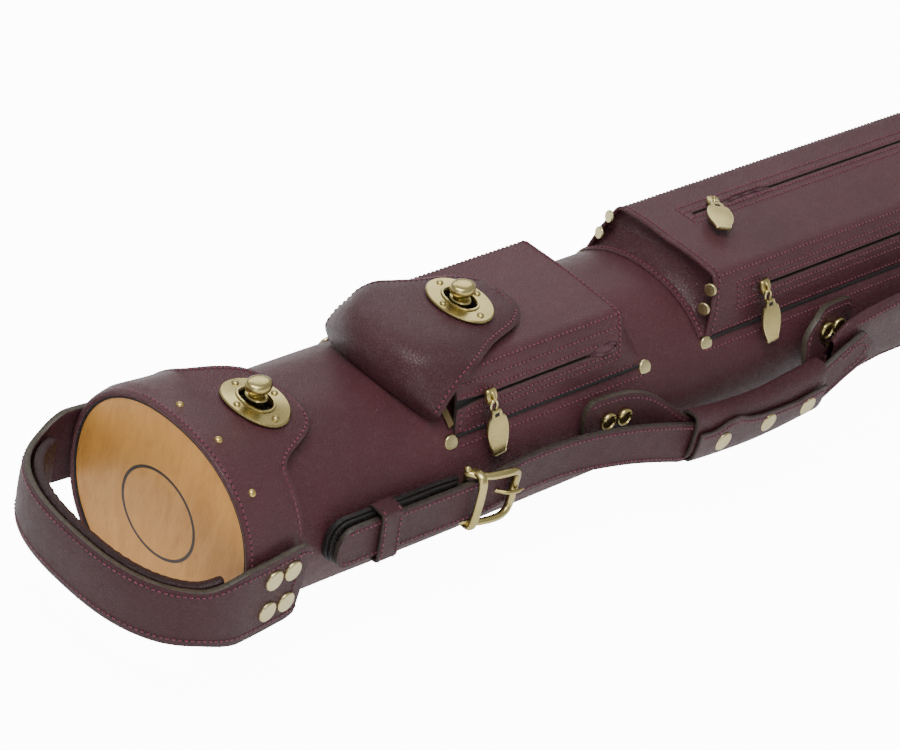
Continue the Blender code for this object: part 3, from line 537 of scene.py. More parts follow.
def slab(name, outline, holes, spot, height, material, body, bevel=0.4, stands=(), crowned=0.0):
    """A plate from a closed (u, v) outline, placed by spot(u, v, h), with softened edges."""
    outline = np.asarray(outline, float)
    inner = np.asarray(holes, float) if holes is not None else outline * 0.02
    rings, levels = [], []
    reach = np.linalg.norm(outline, axis=1).max()

    def crown(points):
        return crowned * (1 - (np.linalg.norm(points, axis=1) / reach) ** 2)

    shrink = 1 - bevel / reach
    for ring, h in ((outline * shrink, 0.0), (outline, bevel), (outline, height - bevel),
                    (outline * shrink, height)):
        rings.append(ring)
        levels.append(h + (crown(ring) if h > height / 2 else 0))
    if holes is not None:
        grow = 1 + bevel / np.linalg.norm(inner, axis=1).max()
        for ring, h in ((inner * grow, height), (inner, height - bevel), (inner, 0.0)):
            rings.append(ring)
            levels.append(h + (crown(ring) if h > height / 2 else 0))
    else:
        for share in (0.7, 0.4, 0.1):
            rings.append(outline * share)
            levels.append(height + crown(outline * share))
    verts = [spot(u, v, float(h)) for ring, lev in zip(rings, levels)
             for (u, v), h in zip(ring, np.broadcast_to(lev, (len(ring),)))]
    faces = grid_faces(len(rings), len(outline), close_rows=holes is not None, close_columns=True)
    if holes is None:
        faces += end_caps(len(rings), len(outline))
    return mesh_piece(name, verts, faces, material, body, None, 35, stands)


def oval(half_u, half_v, power=2.0, count=48):
    a = (np.arange(count) + 0.5) * 2 * math.pi / count
    c, s = np.cos(a), np.sin(a)
    return np.stack([half_u * np.sign(c) * abs(c) ** (2 / power),
                     half_v * np.sign(s) * abs(s) ** (2 / power)], 1)


def smoothstep(t):
    t = np.clip(t, 0, 1)
    return t * t * (3 - 2 * t)


LENGTH = 860.0            # from the lid's face to the far end
LID_LENGTH = 32.0
LID_BACK = 34.9           # x of the lid band's rear edge, away from the tongue
LID_POWER = 2.2
BODY_HALF = (53.0, 44.5)
BODY_POWER = 2.1
BODY_Z = -5.0
SEAM_Y = 41.6             # half width of a pocket where it meets the body
FLOOR_Z = -51.85
LID_SQUARES = (3192.0, 2209.0)      # of the half width and half depth at the lid's rear
TONGUE_BEND = ("lid", "tongue", (37, 0, 45), (45, 0, 45))


def arch(y, half_y, half_z, middle, power):
    """Height of a superellipse at y."""
    return middle + half_z * np.clip(1 - np.abs(np.asarray(y, float) / half_y) ** power, 0, 1) ** (1 / power)


def body_z(y, grow=0.0):
    """Height of the case's rounded body at y."""
    return arch(y, BODY_HALF[0] + grow, BODY_HALF[1] + grow, BODY_Z, BODY_POWER)


def ring(half_y, half_z, power, middle_z, count):
    """A superellipse in y and z, from underneath up the near side, over the top and down again."""
    a = -math.pi / 2 - 2 * math.pi * np.arange(count) / count
    c, s = np.cos(a), np.sin(a)
    y = half_y * np.sign(c) * np.abs(c) ** (2 / power)
    z = middle_z + half_z * np.sign(s) * np.abs(s) ** (2 / power)
    return np.stack([y, z], 1)


def at_x(x, yz):
    """A row of points at one x, or at an x for each."""
    return np.c_[np.broadcast_to(x, len(yz)), yz]


def lid_size(x):
    """Half width, half depth and middle height of the lid, at x behind its face."""
    t = np.clip(x / LID_LENGTH, 0, 1.02)
    return 60 - 3.5 * t, 51.2 - 4.2 * t, -2.5 * t


def lid_ring(x, inset, count):
    """The lid's outline, flat where the case lies on its back."""
    half_y, half_z, middle = lid_size(x)
    yz = ring(half_y - inset, half_z - inset, LID_POWER, middle, count)
    yz[:, 1] = np.maximum(yz[:, 1], FLOOR_Z + inset)
    return yz


def stand_off(row):
    """The lid's leather stands off on its far shoulder, more so towards the tongue."""
    x, y, z = np.asarray(row).T
    out = 0.035 * smoothstep(x / 8) + 0.105 * smoothstep(x / 52)
    out = 1 + out * smoothstep((y - 12) / 24) * smoothstep((z + 20) / 40)
    return np.c_[x, y * out, z * out]


def lid_z(y):
    return arch(y, *lid_size(LID_LENGTH), LID_POWER)


def row_skin(name, rows, kinds, materials, body, inside, stands=(), bend=None, angle=40, slot_x=None):
    """A closed-round skin from rows of points, one material for each gap between rows."""
    grid = np.asarray(rows, float)
    count = grid.shape[1]
    faces = grid_faces(len(rows), count, close_columns=True)
    verts = grid.reshape(-1, 3)
    faces = turned_outwards(verts, faces, inside, count * 3)
    indices = np.repeat(kinds, count)
    if slot_x is not None:
        kept = [outside_slot(verts, f, slot_x) for f in faces]
        faces = [f for f, keep in zip(faces, kept) if keep]
        indices = indices[kept]
    SURFACES[name] = BVHTree.FromPolygons(verts.tolist(), faces)
    return mesh_piece(name, verts, faces, materials, body, indices, angle, stands, bend)


def turned(name, profile, spots, material, body, sides=24, stretch=1.0, stands=(), angle=35):
    """One turned shape at several (centre, axis) spots; stretch widens it along x."""
    verts, faces = [], []
    turns = np.arange(sides) * 2 * math.pi / sides
    for centre, axis in spots:
        axis = unit(axis)
        first = unit(np.array([1.0, 0, 0]) - axis * axis[0])
        other = np.cross(axis, first)
        base = len(verts)
        for r, h in profile:
            for k in turns:
                verts.append(np.asarray(centre) + axis * h
                             + r * (stretch * math.cos(k) * first + math.sin(k) * other))
        faces += [tuple(base + i for i in f) for f in grid_faces(len(profile), sides, close_columns=True)]
        faces += end_caps(len(profile), sides, base)
    return mesh_piece(name, verts, faces, material, body, None, angle, stands)


def cap_profile(radius, height, dish=False):
    top = [(0.8, 0.98), (0.45, 1.05), (0.05, 1.07)]
    if dish:
        top = [(0.80, 1.0), (0.72, 0.7), (0.4, 0.5), (0.05, 0.45)]
    shape = [(0.9, -0.4), (1.0, 0.0), (1.0, 0.5), (0.96, 0.78), (0.88, 0.96)] + top
    return [(r * radius, h * height) for r, h in shape]


def dome(radius, height):
    """Profile of a small round screw or rivet head."""
    shape = ((1.0, -0.3), (1.0, 0.1), (0.92, 0.45), (0.7, 0.78), (0.4, 0.95), (0.05, 1.0))
    return [(r * radius, h * height) for r, h in shape]


# --- body and far end ---------------------------------------------------------------------------------------
def make_body():
    rows = []
    for x in [34.0, *np.arange(40, 826, 9.0), 826.0]:
        yz = ring(*BODY_HALF, BODY_POWER, BODY_Z, 150)
        a = np.arctan2(yz[:, 1] - BODY_Z, yz[:, 0])
        swell = 0.22 * np.sin(3 * a + x / 61) + 0.16 * np.sin(5 * a - x / 37) + 0.12 * np.sin(2 * a + x / 19)
        rows.append(at_x(x, yz * (1 + swell[:, None] / 50)))
    sheet("body_skin", rows, [BURGUNDY, EDGE, BOARD], "case", 2.0, inside=(400, 0, -5), closed=True,
          bevel=0.0, stands=("body_leather",))


def band_screws(name, x, behind, lean, places, height, body):
    """Round-headed screws on the outline of lid or end band; a place with z 0 has it worked out from y."""
    half_y, half_z, middle = lid_size(behind)
    spots = []
    for y, z in places:
        z = z or float(arch(y, half_y, half_z, middle, LID_POWER))
        y = math.copysign(float(arch(z - middle, half_z, half_y, 0, LID_POWER)), y)
        spots.append(((x, y, z), (lean, y * 60 / half_y ** 2, (z - middle) * 60 / half_z ** 2)))
    turned(name, dome(1.9, height), spots, GOLD_BRASS, body, 16)


# x, inset and material of each row over the end band, from inside its front edge to inside its rear rim
END_BAND = ((824.5, 2.4, 0), (824.3, 1.6, 1), (824.3, 0.6, 1), (824.8, 0.1, 1), (826.5, 0, 0), (832, 0, 0),
            (842, 0, 0), (852, -0.2, 0), (856.5, 0.05, 0), (858.4, 0.6, 0), (859.7, 1.6, 0), (860, 2.6, 0),
            (859.3, 3.6, 0), (857.6, 3.9, 0))


def make_far_end():
    rows = [at_x(x, lid_ring(LENGTH - x, inset, 200)) for x, inset, _ in END_BAND]
    row_skin("end_band_skin", rows, [kind for _, _, kind in END_BAND[1:]], [BURGUNDY, EDGE], "case",
             (840, 0, 0), ("end_band",))
    slab("end_disc_veneer", lid_ring(0.0, 3.9, 160), None, lambda u, v, h: (838.4 + h, u, v), 20.2, WOOD,
         "case", 0.5, ("end_disc",), crowned=0.3)
    stitches("end_rim_stitches", at_x(858.6, lid_ring(1.4, 1.0, 120)[4:-4]), "end_band_skin", "case")
    stitches("end_edge_stitches", at_x(830.0, lid_ring(30, 0, 120)[8:-8]), "end_band_skin", "case")
    places = [(y, 0) for y in (-52.5, -37.5, -13.5, 13.5, 37.5, 52.5)]
    band_screws("end_screws", LENGTH - 10.5, 10.5, 0.1, places, 1.4, "case")


# --- lid ----------------------------------------------------------------------------------------------------
# x of the lid's rear edge at a distance from its middle line: the tongue and its two hollow shoulders
TONGUE_EDGE = ((0, 65.4), (8, 65.1), (13, 64.6), (17, 63.6), (20, 61.8), (22.5, 59.0), (25, 54.6),
               (27.5, 48.6), (30, 42.4), (32.5, 38.0), (35, 36.2), (39, 35.6), (46, 35.4), (60, LID_BACK))
LID_FRONT = ((3.4, 3.9), (1.5, 3.6), (0.4, 2.9), (-0.1, 1.8), (0.2, 0.8), (1.2, 0.15), (2.6, 0.0), (5, 0.0),
             (8, -0.15), (12, -0.25), (16, -0.2), (20, -0.1), (24, 0), (28, 0), (32, 0))
LID_SCREWS = ((9.5, 0), (-16.5, 0), (-41.5, 0), (-57.2, 9), (36.0, 0), (53.0, 0), (-59.3, -14), (59.3, -14))


def tongue_x(yz):
    return np.where(yz[:, 1] > 15, np.interp(np.abs(yz[:, 0]), *np.array(TONGUE_EDGE).T), LID_BACK)


def make_lid_leather():
    """Rolled rim, band and tongue outside, the cut edge, and the lining back to the pad."""
    count = 320
    rows = [at_x(x, lid_ring(x, inset, count)) for x, inset in LID_FRONT]
    rim, inner = lid_ring(32.6, 0, count), lid_ring(32.6, 2.6, count)
    edge = tongue_x(rim)
    rows += [at_x(LID_LENGTH + (edge - LID_LENGTH) * share, rim) for share in np.linspace(0.07, 0.98, 15)]
    outside = len(rows) - 1
    for ahead, inset in ((0.0, 0.35), (0.25, 0.8), (0.25, 1.8), (0.0, 2.4)):
        rows.append(at_x(edge + ahead, lid_ring(32.6, inset, count)))
    rows += [at_x(LID_LENGTH + (edge - LID_LENGTH) * share, inner) for share in np.linspace(0.93, 0.0, 14)]
    rows.append(at_x(13.0, lid_ring(13.0, 2.8, count)))
    kinds = [0] * outside + [1] * 4 + [2] * 15
    row_skin("lid_leather", [stand_off(row) for row in rows], kinds, [BURGUNDY, EDGE, SUEDE], "lid",
             (10, 0, 0), ("lid_band", "lid_tongue"), TONGUE_BEND, slot_x=46.0)


def make_lid():
    make_lid_leather()
    slab("lid_veneer", lid_ring(0.0, 3.7, 200), None, lambda u, v, h: (12 - h, u, v), 10.7, WOOD, "lid", 0.5,
         ("lid_disc",), crowned=0.35)
    # painted shade: a black tube round the rim stands for the shade in the gap between veneer and leather
    tube("lid_rim_gap_shade", at_x(1.1, lid_ring(0.0, 3.55, 160)), 0.55, SHADE_BLACK, "lid", 6, closed=True)
    path = stand_off(at_x(1.9, lid_ring(1.9, 0.0, 200)))
    low = sum(path[:100, 2] < -44)
    stitches("lid_rim_stitches", path[low:len(path) - low], "lid_leather", "lid")
    rim = lid_ring(32.4, 0, 320)
    line = at_x(tongue_x(rim), rim)
    inward = np.cross(unit(np.gradient(line, axis=0)), unit(at_x(0, rim / LID_SQUARES)))
    inward *= np.sign(-inward[:, :1])
    seam = (line + inward * 2.0)[rim[:, 1] > -44]
    stitches("lid_edge_stitches", stand_off(seam), "lid_leather", "lid", TONGUE_BEND)
    band_screws("lid_screws", 10.5, 10.5, -0.1, LID_SCREWS, 1.5, "lid")
    leaf = [[(x, y, -50.8) for y in np.linspace(-23.5, 23.5, 9)] for x in np.linspace(14.5, 63.5, 15)]
    sheet("hinge_leaf_leather", leaf, [BURGUNDY, EDGE], "case", 1.0, offset=1.0, bevel=0.0,
          stands=("lid_hinge_leaf",), bend=("case", "lid", (38, 0, -51), (28, 0, -51)))


# --- turn locks ---------------------------------------------------------------------------------------------
POST = ((4.4, -1.9), (5.2, -1.5), (5.6, -0.9), (5.2, -0.3), (4.2, 0), (0.3, 0))
KNOB = ((3.3, 0), (3.4, 1.7), (4.5, 2.1), (5.1, 2.8), (5.3, 4.0), (5.2, 5.4), (4.8, 6.3), (4.1, 6.8),
        (2.6, 7.0), (0.2, 7.05))
UP = (0, 0, 1)


def make_lock(prefix, x, height, post_low, post_top, base_z, plate_body, knob_body):
    """A turn-lock: oval plate and lip on the leather, a black oval under the slot as painted shade, post and
    knob; height(v) is the leather's.
    """
    def spot(u, v, h):
        return (x + u, v, height(v) + h)

    slab(f"{prefix}_plate_oval", oval(13.5, 18.2, 2.0, 72), oval(6.2, 8.9, 2.2, 72), spot, 1.7, BRASS,
         plate_body, 0.6, (f"{prefix}_plate",))
    slab(f"{prefix}_plate_lip", oval(7.4, 10.2, 2.2, 72), oval(6.1, 8.8, 2.2, 72),
         lambda u, v, h: spot(u, v, h + 1.5), 0.9, BRASS, plate_body, 0.35)
    # painted shade: a black oval below the slot, where the lock's base plate sits, makes the slot look dark
    slab(f"{prefix}_slot_shade_plate", oval(9.0, 12.0, 2.2, 40), None, lambda u, v, h: (x + u, v, base_z + h), 0.4,
         SHADE_BLACK, "case", 0.1)
    rivets = [(spot(u, v, 1.5), UP) for u, v in ((-10.2, 0.6), (10.2, -0.6), (0.4, 14.0), (-0.4, -14.0))]
    turned(f"{prefix}_plate_rivets", dome(1.75, 1.3), rivets, BRASS, plate_body, 18)
    post = [(4.4, post_low)] + [(r, post_top + h) for r, h in POST]
    turned(f"{prefix}_post_collar", post, [((x, 0, 0), UP)], BRASS, "case", 40, 0.86, (f"{prefix}_post",))
    knob = [(r, post_top + 0.1 + h) for r, h in KNOB]
    turned(f"{prefix}_knob_turned", knob, [((x, 0, 0), UP)], BRASS, knob_body, 48, 1.25, (f"{prefix}_knob",),
           45)


# --- loop handle --------------------------------------------------------------------------------------------
LOOP_Z = -3.0
LOOP_BEND = ("lid", "end_handle", (4, 0, LOOP_Z), (-8, 0, LOOP_Z))


def loop_point(angle, inset):
    """Where the loop passes, at an angle from straight ahead."""
    s, c = math.sin(angle), math.cos(angle)
    return (-(46 - inset) * max(c, 0) ** 0.8, (62.4 - inset) * math.copysign(abs(s) ** 0.8, s))


def make_loop():
    path = [(33.5, -59.0), (28, -59.6), (22, -60.2), (15, -60.9), (8, -61.6)]
    path += [loop_point(a, 0) for a in np.radians(np.linspace(-88, 88, 61))]
    path += [(x, -y) for x, y in path[4::-1]]
    path = evenly(curve([(x, y, 0) for x, y in path], 300)[:, :3], 110)
    rows = []
    for x, y, _ in path:
        near = smoothstep((x + 24) / 22)
        top = 11.6 + 6.4 * near
        low = 17.4 + 3.6 * near
        if x > 27:
            top -= 3.2 * ((x - 27) / 7) ** 2
            low -= 1.6 * ((x - 27) / 7) ** 2
        round_ = 0.9 if x < -30 else 0
        rows.append([(x - round_ * (1 - k * k) + 1.6 * k * smoothstep((x - 24) / 8),
                      y * (1 + 0.004 * (1 - k * k)) + math.copysign(0.18 * near, y),
                      LOOP_Z + k * (top if k > 0 else low)) for k in np.linspace(-1, 1, 13)])
    sheet("loop_strap_leather", rows, [STRAP_LEATHER, TAN_EDGE], "lid", 3.2, bevel=0.7,
          stands=("end_handle_strap", "end_handle_root_near", "end_handle_root_far"),
          bend=LOOP_BEND)
    rows = np.asarray(rows)
    for label, column in (("top", -1), ("low", 0)):
        middle = rows[:, 6]
        line = middle + (rows[:, column] - middle) * 0.8
        away = unit(line * (1, 1, 0) - (20, 0, 0))
        stitches(f"loop_{label}_stitches", line + away * 2.0, "loop_strap_leather", "lid", LOOP_BEND)
    for row, word, side in ((3, "near", -2), (-4, "far", 2)):
        stitches(f"loop_root_stitches_{word}", rows[row, 1:-1] + (0, side, 0), "loop_strap_leather", "lid")
    rows = []
    for a in np.radians(np.linspace(-78, 76, 63)):
        x, y = loop_point(a, 4.9)
        near = smoothstep((x + 24) / 22) * (y < 0)
        x += 0.25 * math.sin(math.degrees(a) * 1.1)
        rows.append([(x, y, LOOP_Z + k * (11.4 + 5.2 * near if k > 0 else 14.6))
                     for k in np.linspace(-1, 1, 9)])
    sheet("loop_lining_roll", rows, [DARK_LEATHER, DARK_LEATHER], "end_handle", 5.4, bevel=2.0,
          stands=("end_handle_lining",))
    for label, side in (("near", -1), ("far", 1)):
        spots = [((x, side * (64.1 - 0.106 * (x - 1)), z), (0.106, side, 0.0)) for x in (12.0, 23.5)
                 for z in (-12.2, 4.8)]
        turned(f"loop_caps_{label}", cap_profile(5.0, 1.6), spots, BRIGHT_BRASS, "lid", 32,
               stands=(f"end_handle_rivets_{label}",))


# --- pockets ------------------------------------------------------------------------------------------------
POCKET_SHAPE = ((SEAM_Y, -0.6), (40.9, 26.5), (39.6, 32.5), (38.3, 38.2), (36.4, 43.6), (34.4, 49.2),
                (33.2, 51.9), (31.0, 53.4), (24, 53.7), (12, 54.1))


def pocket_profile(count):
    """Outline over the pocket from the near seam to the far one, evenly spaced, and its own length."""
    seam_z = float(body_z(SEAM_Y))
    side = [(-y, seam_z if z < 0 else z) for y, z in POCKET_SHAPE]
    line = [(y, z, 0) for y, z in side] + [(0, 54.3, 0)] + [(-y, z, 0) for y, z in side[::-1]]
    return curve(line, count)[:, :2]


PROFILE = pocket_profile(400)
ARC = np.r_[0, np.cumsum(np.linalg.norm(np.diff(PROFILE, axis=0), axis=1))]
NEAR_HALF = slice(0, 200)


def arc_at_z(z):
    return float(np.interp(z, PROFILE[NEAR_HALF, 1], ARC[NEAR_HALF]))


def arc_at_y(y):
    return float(np.interp(y, PROFILE[:, 0], ARC))


def profile_at(s):
    """Points and outward normals of the outline at arc lengths s."""
    def at(s):
        return np.stack([np.interp(s, ARC, PROFILE[:, i]) for i in (0, 1)], -1)

    p, q = at(s), unit(at(s + 0.3) - at(s - 0.3))
    return p, np.stack([-q[..., 1], q[..., 0]], -1)


class Zip:
    """A slit along x at one arc length, with a drop-shaped opening from one x to another."""

    def __init__(self, arc, start, end, drop, mouth=0.0):
        self.arc, self.start, self.end, self.drop, self.mouth = arc, start, end, drop, mouth

    def gape(self, x):
        """How open the slit is (0 or 1) and its half width."""
        low, high, half = self.drop
        t = (x - low) / (high - low)
        wide = 0.55 + self.mouth * max(0.0, 1 - (x - self.start) / 18)
        if 0 < t < 1:
            wide += half * math.sin(math.pi * t ** 1.6) ** 0.8
        return self.start <= x <= self.end, wide


# distance outside the slit's edge, height and material of the leather along one lip of a zip
# material 2 is flat black: painted shade on the leather that dips down into the slit
LIP = ((2.2, 0, 0), (1.0, 0.35, 0), (0.25, 0.15, 0), (0, -0.5, 1), (-0.05, -1.5, 2))


def slit_row(zips, x):
    """Arc lengths across the pocket at x, how high the leather stands at each, and the material after each."""
    spots, deep, kinds = [], [], []
    last, span = 0.0, 26
    for zip_ in zips:
        shown, wide = zip_.gape(x)
        offs = [-wide - d for d, _, _ in LIP] + [wide + d for d, _, _ in LIP[::-1]]
        spots += [*np.linspace(last, zip_.arc + offs[0], span, endpoint=False), *[zip_.arc + o for o in offs]]
        deep += [0.0] * span + [h * shown for _, h, _ in LIP + LIP[::-1]]
        kinds += [0] * span + [k * shown for k in (0, 0, 1, 2, 2, 2, 1, 0, 0, 0)]
        last, span = zip_.arc + offs[-1], 20
    spots += [*np.linspace(last, ARC[-1], 45)[1:]]
    return np.array(spots), np.array(deep + [0.0] * 44), kinds + [0] * 43


def pocket_skin(name, x_rows, zips, fullness, lift, stands, base):
    """The pocket's leather with its zip slits sunk into it. fullness(x) lowers it to the body at its ends."""
    rows, kinds = [], []
    for x in x_rows:
        spots, deep, row_kinds = slit_row(zips, x)
        p, n = profile_at(spots)
        p = p + n * deep[:, None]
        ground = body_z(np.minimum(np.abs(p[:, 0]), SEAM_Y), 0.3)
        z = ground + (p[:, 1] - ground) * fullness(x) + lift(x, p[:, 0])
        rows.append(np.c_[base(x, p[:, 0], p[:, 1]), p[:, 0], z])
        kinds.append(row_kinds)
    grid = np.asarray(rows)
    faces = grid_faces(*grid.shape[:2])
    verts = grid.reshape(-1, 3)
    SURFACES[name] = BVHTree.FromPolygons(verts.tolist(), faces)
    kinds = np.array([a if any(a) and any(b) else [0] * len(a) for a, b in zip(kinds, kinds[1:])]).reshape(-1)
    a, b, c = (verts[[f[i] for f in faces]] for i in range(3))
    if (np.cross(b - a, c - a) * (a - (400 if a[:, 0].mean() > 300 else 190, 0, 20))).sum() < 0:
        faces = [f[::-1] for f in faces]
    # materials: leather, cut edge, and black as painted shade inside the zip slits
    mesh_piece(name, verts, faces, [BURGUNDY, EDGE, SHADE_BLACK], "case", kinds, 42, stands)


def side_path(x0, x1, arc, step=4.0):
    """A line along x over the pocket, at one arc length."""
    p, n = profile_at(np.array([arc]))
    return [np.r_[x, (p + n * 0.5)[0]] for x in np.arange(x0, x1 + 0.1, step)]


def arc_path(x, s0, s1, count=20):
    """A line across the pocket at x."""
    p, n = profile_at(np.linspace(s0, s1, count))
    return at_x(x, p + n * 0.5)


def body_path(x0, x1, z, side, step=4.0):
    """A line along x over the side of the case's body."""
    y = float(arch(z - BODY_Z, *BODY_HALF[::-1], 0, BODY_POWER))
    return [np.array([x, side * (y + 0.5), z + 0.3]) for x in np.arange(x0, x1 + 0.1, step)]


def make_small_pocket():
    slit = Zip(arc_at_z(38.5), 133.0, 238.2, (219, 239.5, 2.6), 1.7)
    xs = sorted(set(list(np.arange(134, 239, 3.0)) + [238.1, 238.3, 239.4, 240.4, 241.0, 241.5, 242.0, 243]
                    + list(np.arange(219, 238, 1.0)) + [244.5, 246, 248, 250, 251.5, 253, 254.3, 255.3, 256]))

    def fullness(x):
        return 1 - 0.97 * np.clip((x - 241.5) / 14.7, 0, 1) ** 0.9

    def crease(x, y):
        amount = smoothstep((x - 242) / 5) * (1 - smoothstep((x - 249) / 6))
        return amount * (0.4 * np.sin(np.abs(y) / 3.1) - 0.3)

    pocket_skin("small_pocket_skin", xs, [slit], fullness, crease, ("small_pocket",),
                lambda x, y, z: np.full(len(y), x))
    s = slit.arc
    for label, offset, x0, x1 in (("a", arc_at_z(52.6) - s, 150, 243), ("b", 9.0, 137, 241),
                                  ("c", 3.4, 137, 228), ("d", -3.8, 140, 241), ("e", -7.0, 140, 240),
                                  ("f", -14.0, 139, 251)):
        stitches(f"small_pocket_stitches_{label}", side_path(x0, x1, s + offset), "small_pocket_skin", "case")
        stitches(f"small_pocket_far_{label}",
                 [p * np.array([1, -1, 1]) for p in side_path(x0, x1, s + offset)], "small_pocket_skin",
                 "case")
    stitches("small_pocket_end_stitches", arc_path(240.2, s - 7, ARC[-1] - s + 7, 60), "small_pocket_skin",
             "case")
    stitches("small_pocket_tab_stitches", arc_path(137.0, s - 14, s - 3.8), "small_pocket_skin", "case")
    for side, label in ((-1, "near"), (1, "far")):
        stitches(f"small_pocket_ground_{label}", body_path(136, 258, 20.0, side), "body_skin", "case")
        # painted shade: a black tube along the foot of the pocket stands for the shade where it meets the body
        seam = [p * np.array([1, -side, 1]) for p in side_path(134, 256, 0.25)]
        tube(f"small_pocket_seam_shade_{label}", seam, 0.8, SHADE_BLACK, "case", 6)
    teeth("small_zip_teeth", slit, 220, 239, "small_zip_tape")
    corners = [((x, side * 42.3, 21.9), (0, side * 0.93, 0.4)) for x in (130.9, 258.6, 302.2)
               for side in (-1, 1)]
    turned("pocket_corner_rivets", cap_profile(4.0, 1.3), corners, BRIGHT_BRASS, "case", 28)
    p, n = profile_at(np.linspace(0.5, ARC[-1] - 0.5, 60))
    mouth = [at_x(x, p - n * inset)
             for x, inset in ((134.0, 0.0), (133.8, 0.6), (134.0, 1.8), (136, 2.2), (160, 2.2), (235, 2.4))]
    mesh_piece("small_pocket_mouth", np.concatenate(mouth), grid_faces(6, 60), [BURGUNDY, EDGE, SUEDE],
               "case", np.repeat([1, 1, 1, 2, 2], 59))
    sill = [[(131.5 + 2.6 * v, y, float(body_z(y, 0.4)) + 0.6 + 1.6 * v) for y in np.linspace(-39, 39, 31)]
            for v in np.linspace(0, 1, 9)]
    sheet("small_pocket_sill", sill, [SUEDE, EDGE], "case", 1.2, bevel=0.0)


CUBE = ((0, 1, 3, 2), (4, 6, 7, 5), (0, 4, 5, 1), (2, 3, 7, 6), (1, 5, 7, 3), (0, 2, 6, 4))


def teeth(name, slit, x0, x1, stands):
    """The open part of a zip: woven tape under the slit and two rows of small teeth along its lips."""
    verts, faces = [], []
    for lip in (-1, 1):
        for x in np.arange(x0, x1, 0.55)[::2]:
            _, wide = slit.gape(x)
            if wide < 0.7:
                continue
            p, n = profile_at(np.array([slit.arc + lip * (wide - 0.55)]))
            q, _ = profile_at(np.array([slit.arc + lip * (wide + 0.5)]))
            across, out = unit(np.r_[0, q[0] - p[0]]), np.r_[0, n[0]]
            at = np.r_[x, p[0]] - out * 0.45
            faces += [tuple(len(verts) + k for k in f) for f in CUBE]
            verts += [at + (a, 0, 0) + across * b + out * c for a in (-0.28, 0.28) for b in (-0.55, 0.5)
                      for c in (-0.4, 0.35)]
    kinds = [1] * len(faces)
    faces += [tuple(len(verts) + k for k in f) for f in grid_faces(40, 5)]
    for x in np.linspace(x0 - 2, x1 + 1, 40):
        p, n = profile_at(slit.arc + np.linspace(-1, 1, 5) * (slit.gape(x)[1] + 0.3))
        verts += list(at_x(x, p - n * 1.2))
    kinds += [0] * (len(faces) - len(kinds))
    mesh_piece(name, verts, faces, [TAPE, TAPE], "case", kinds, 30, (stands,))


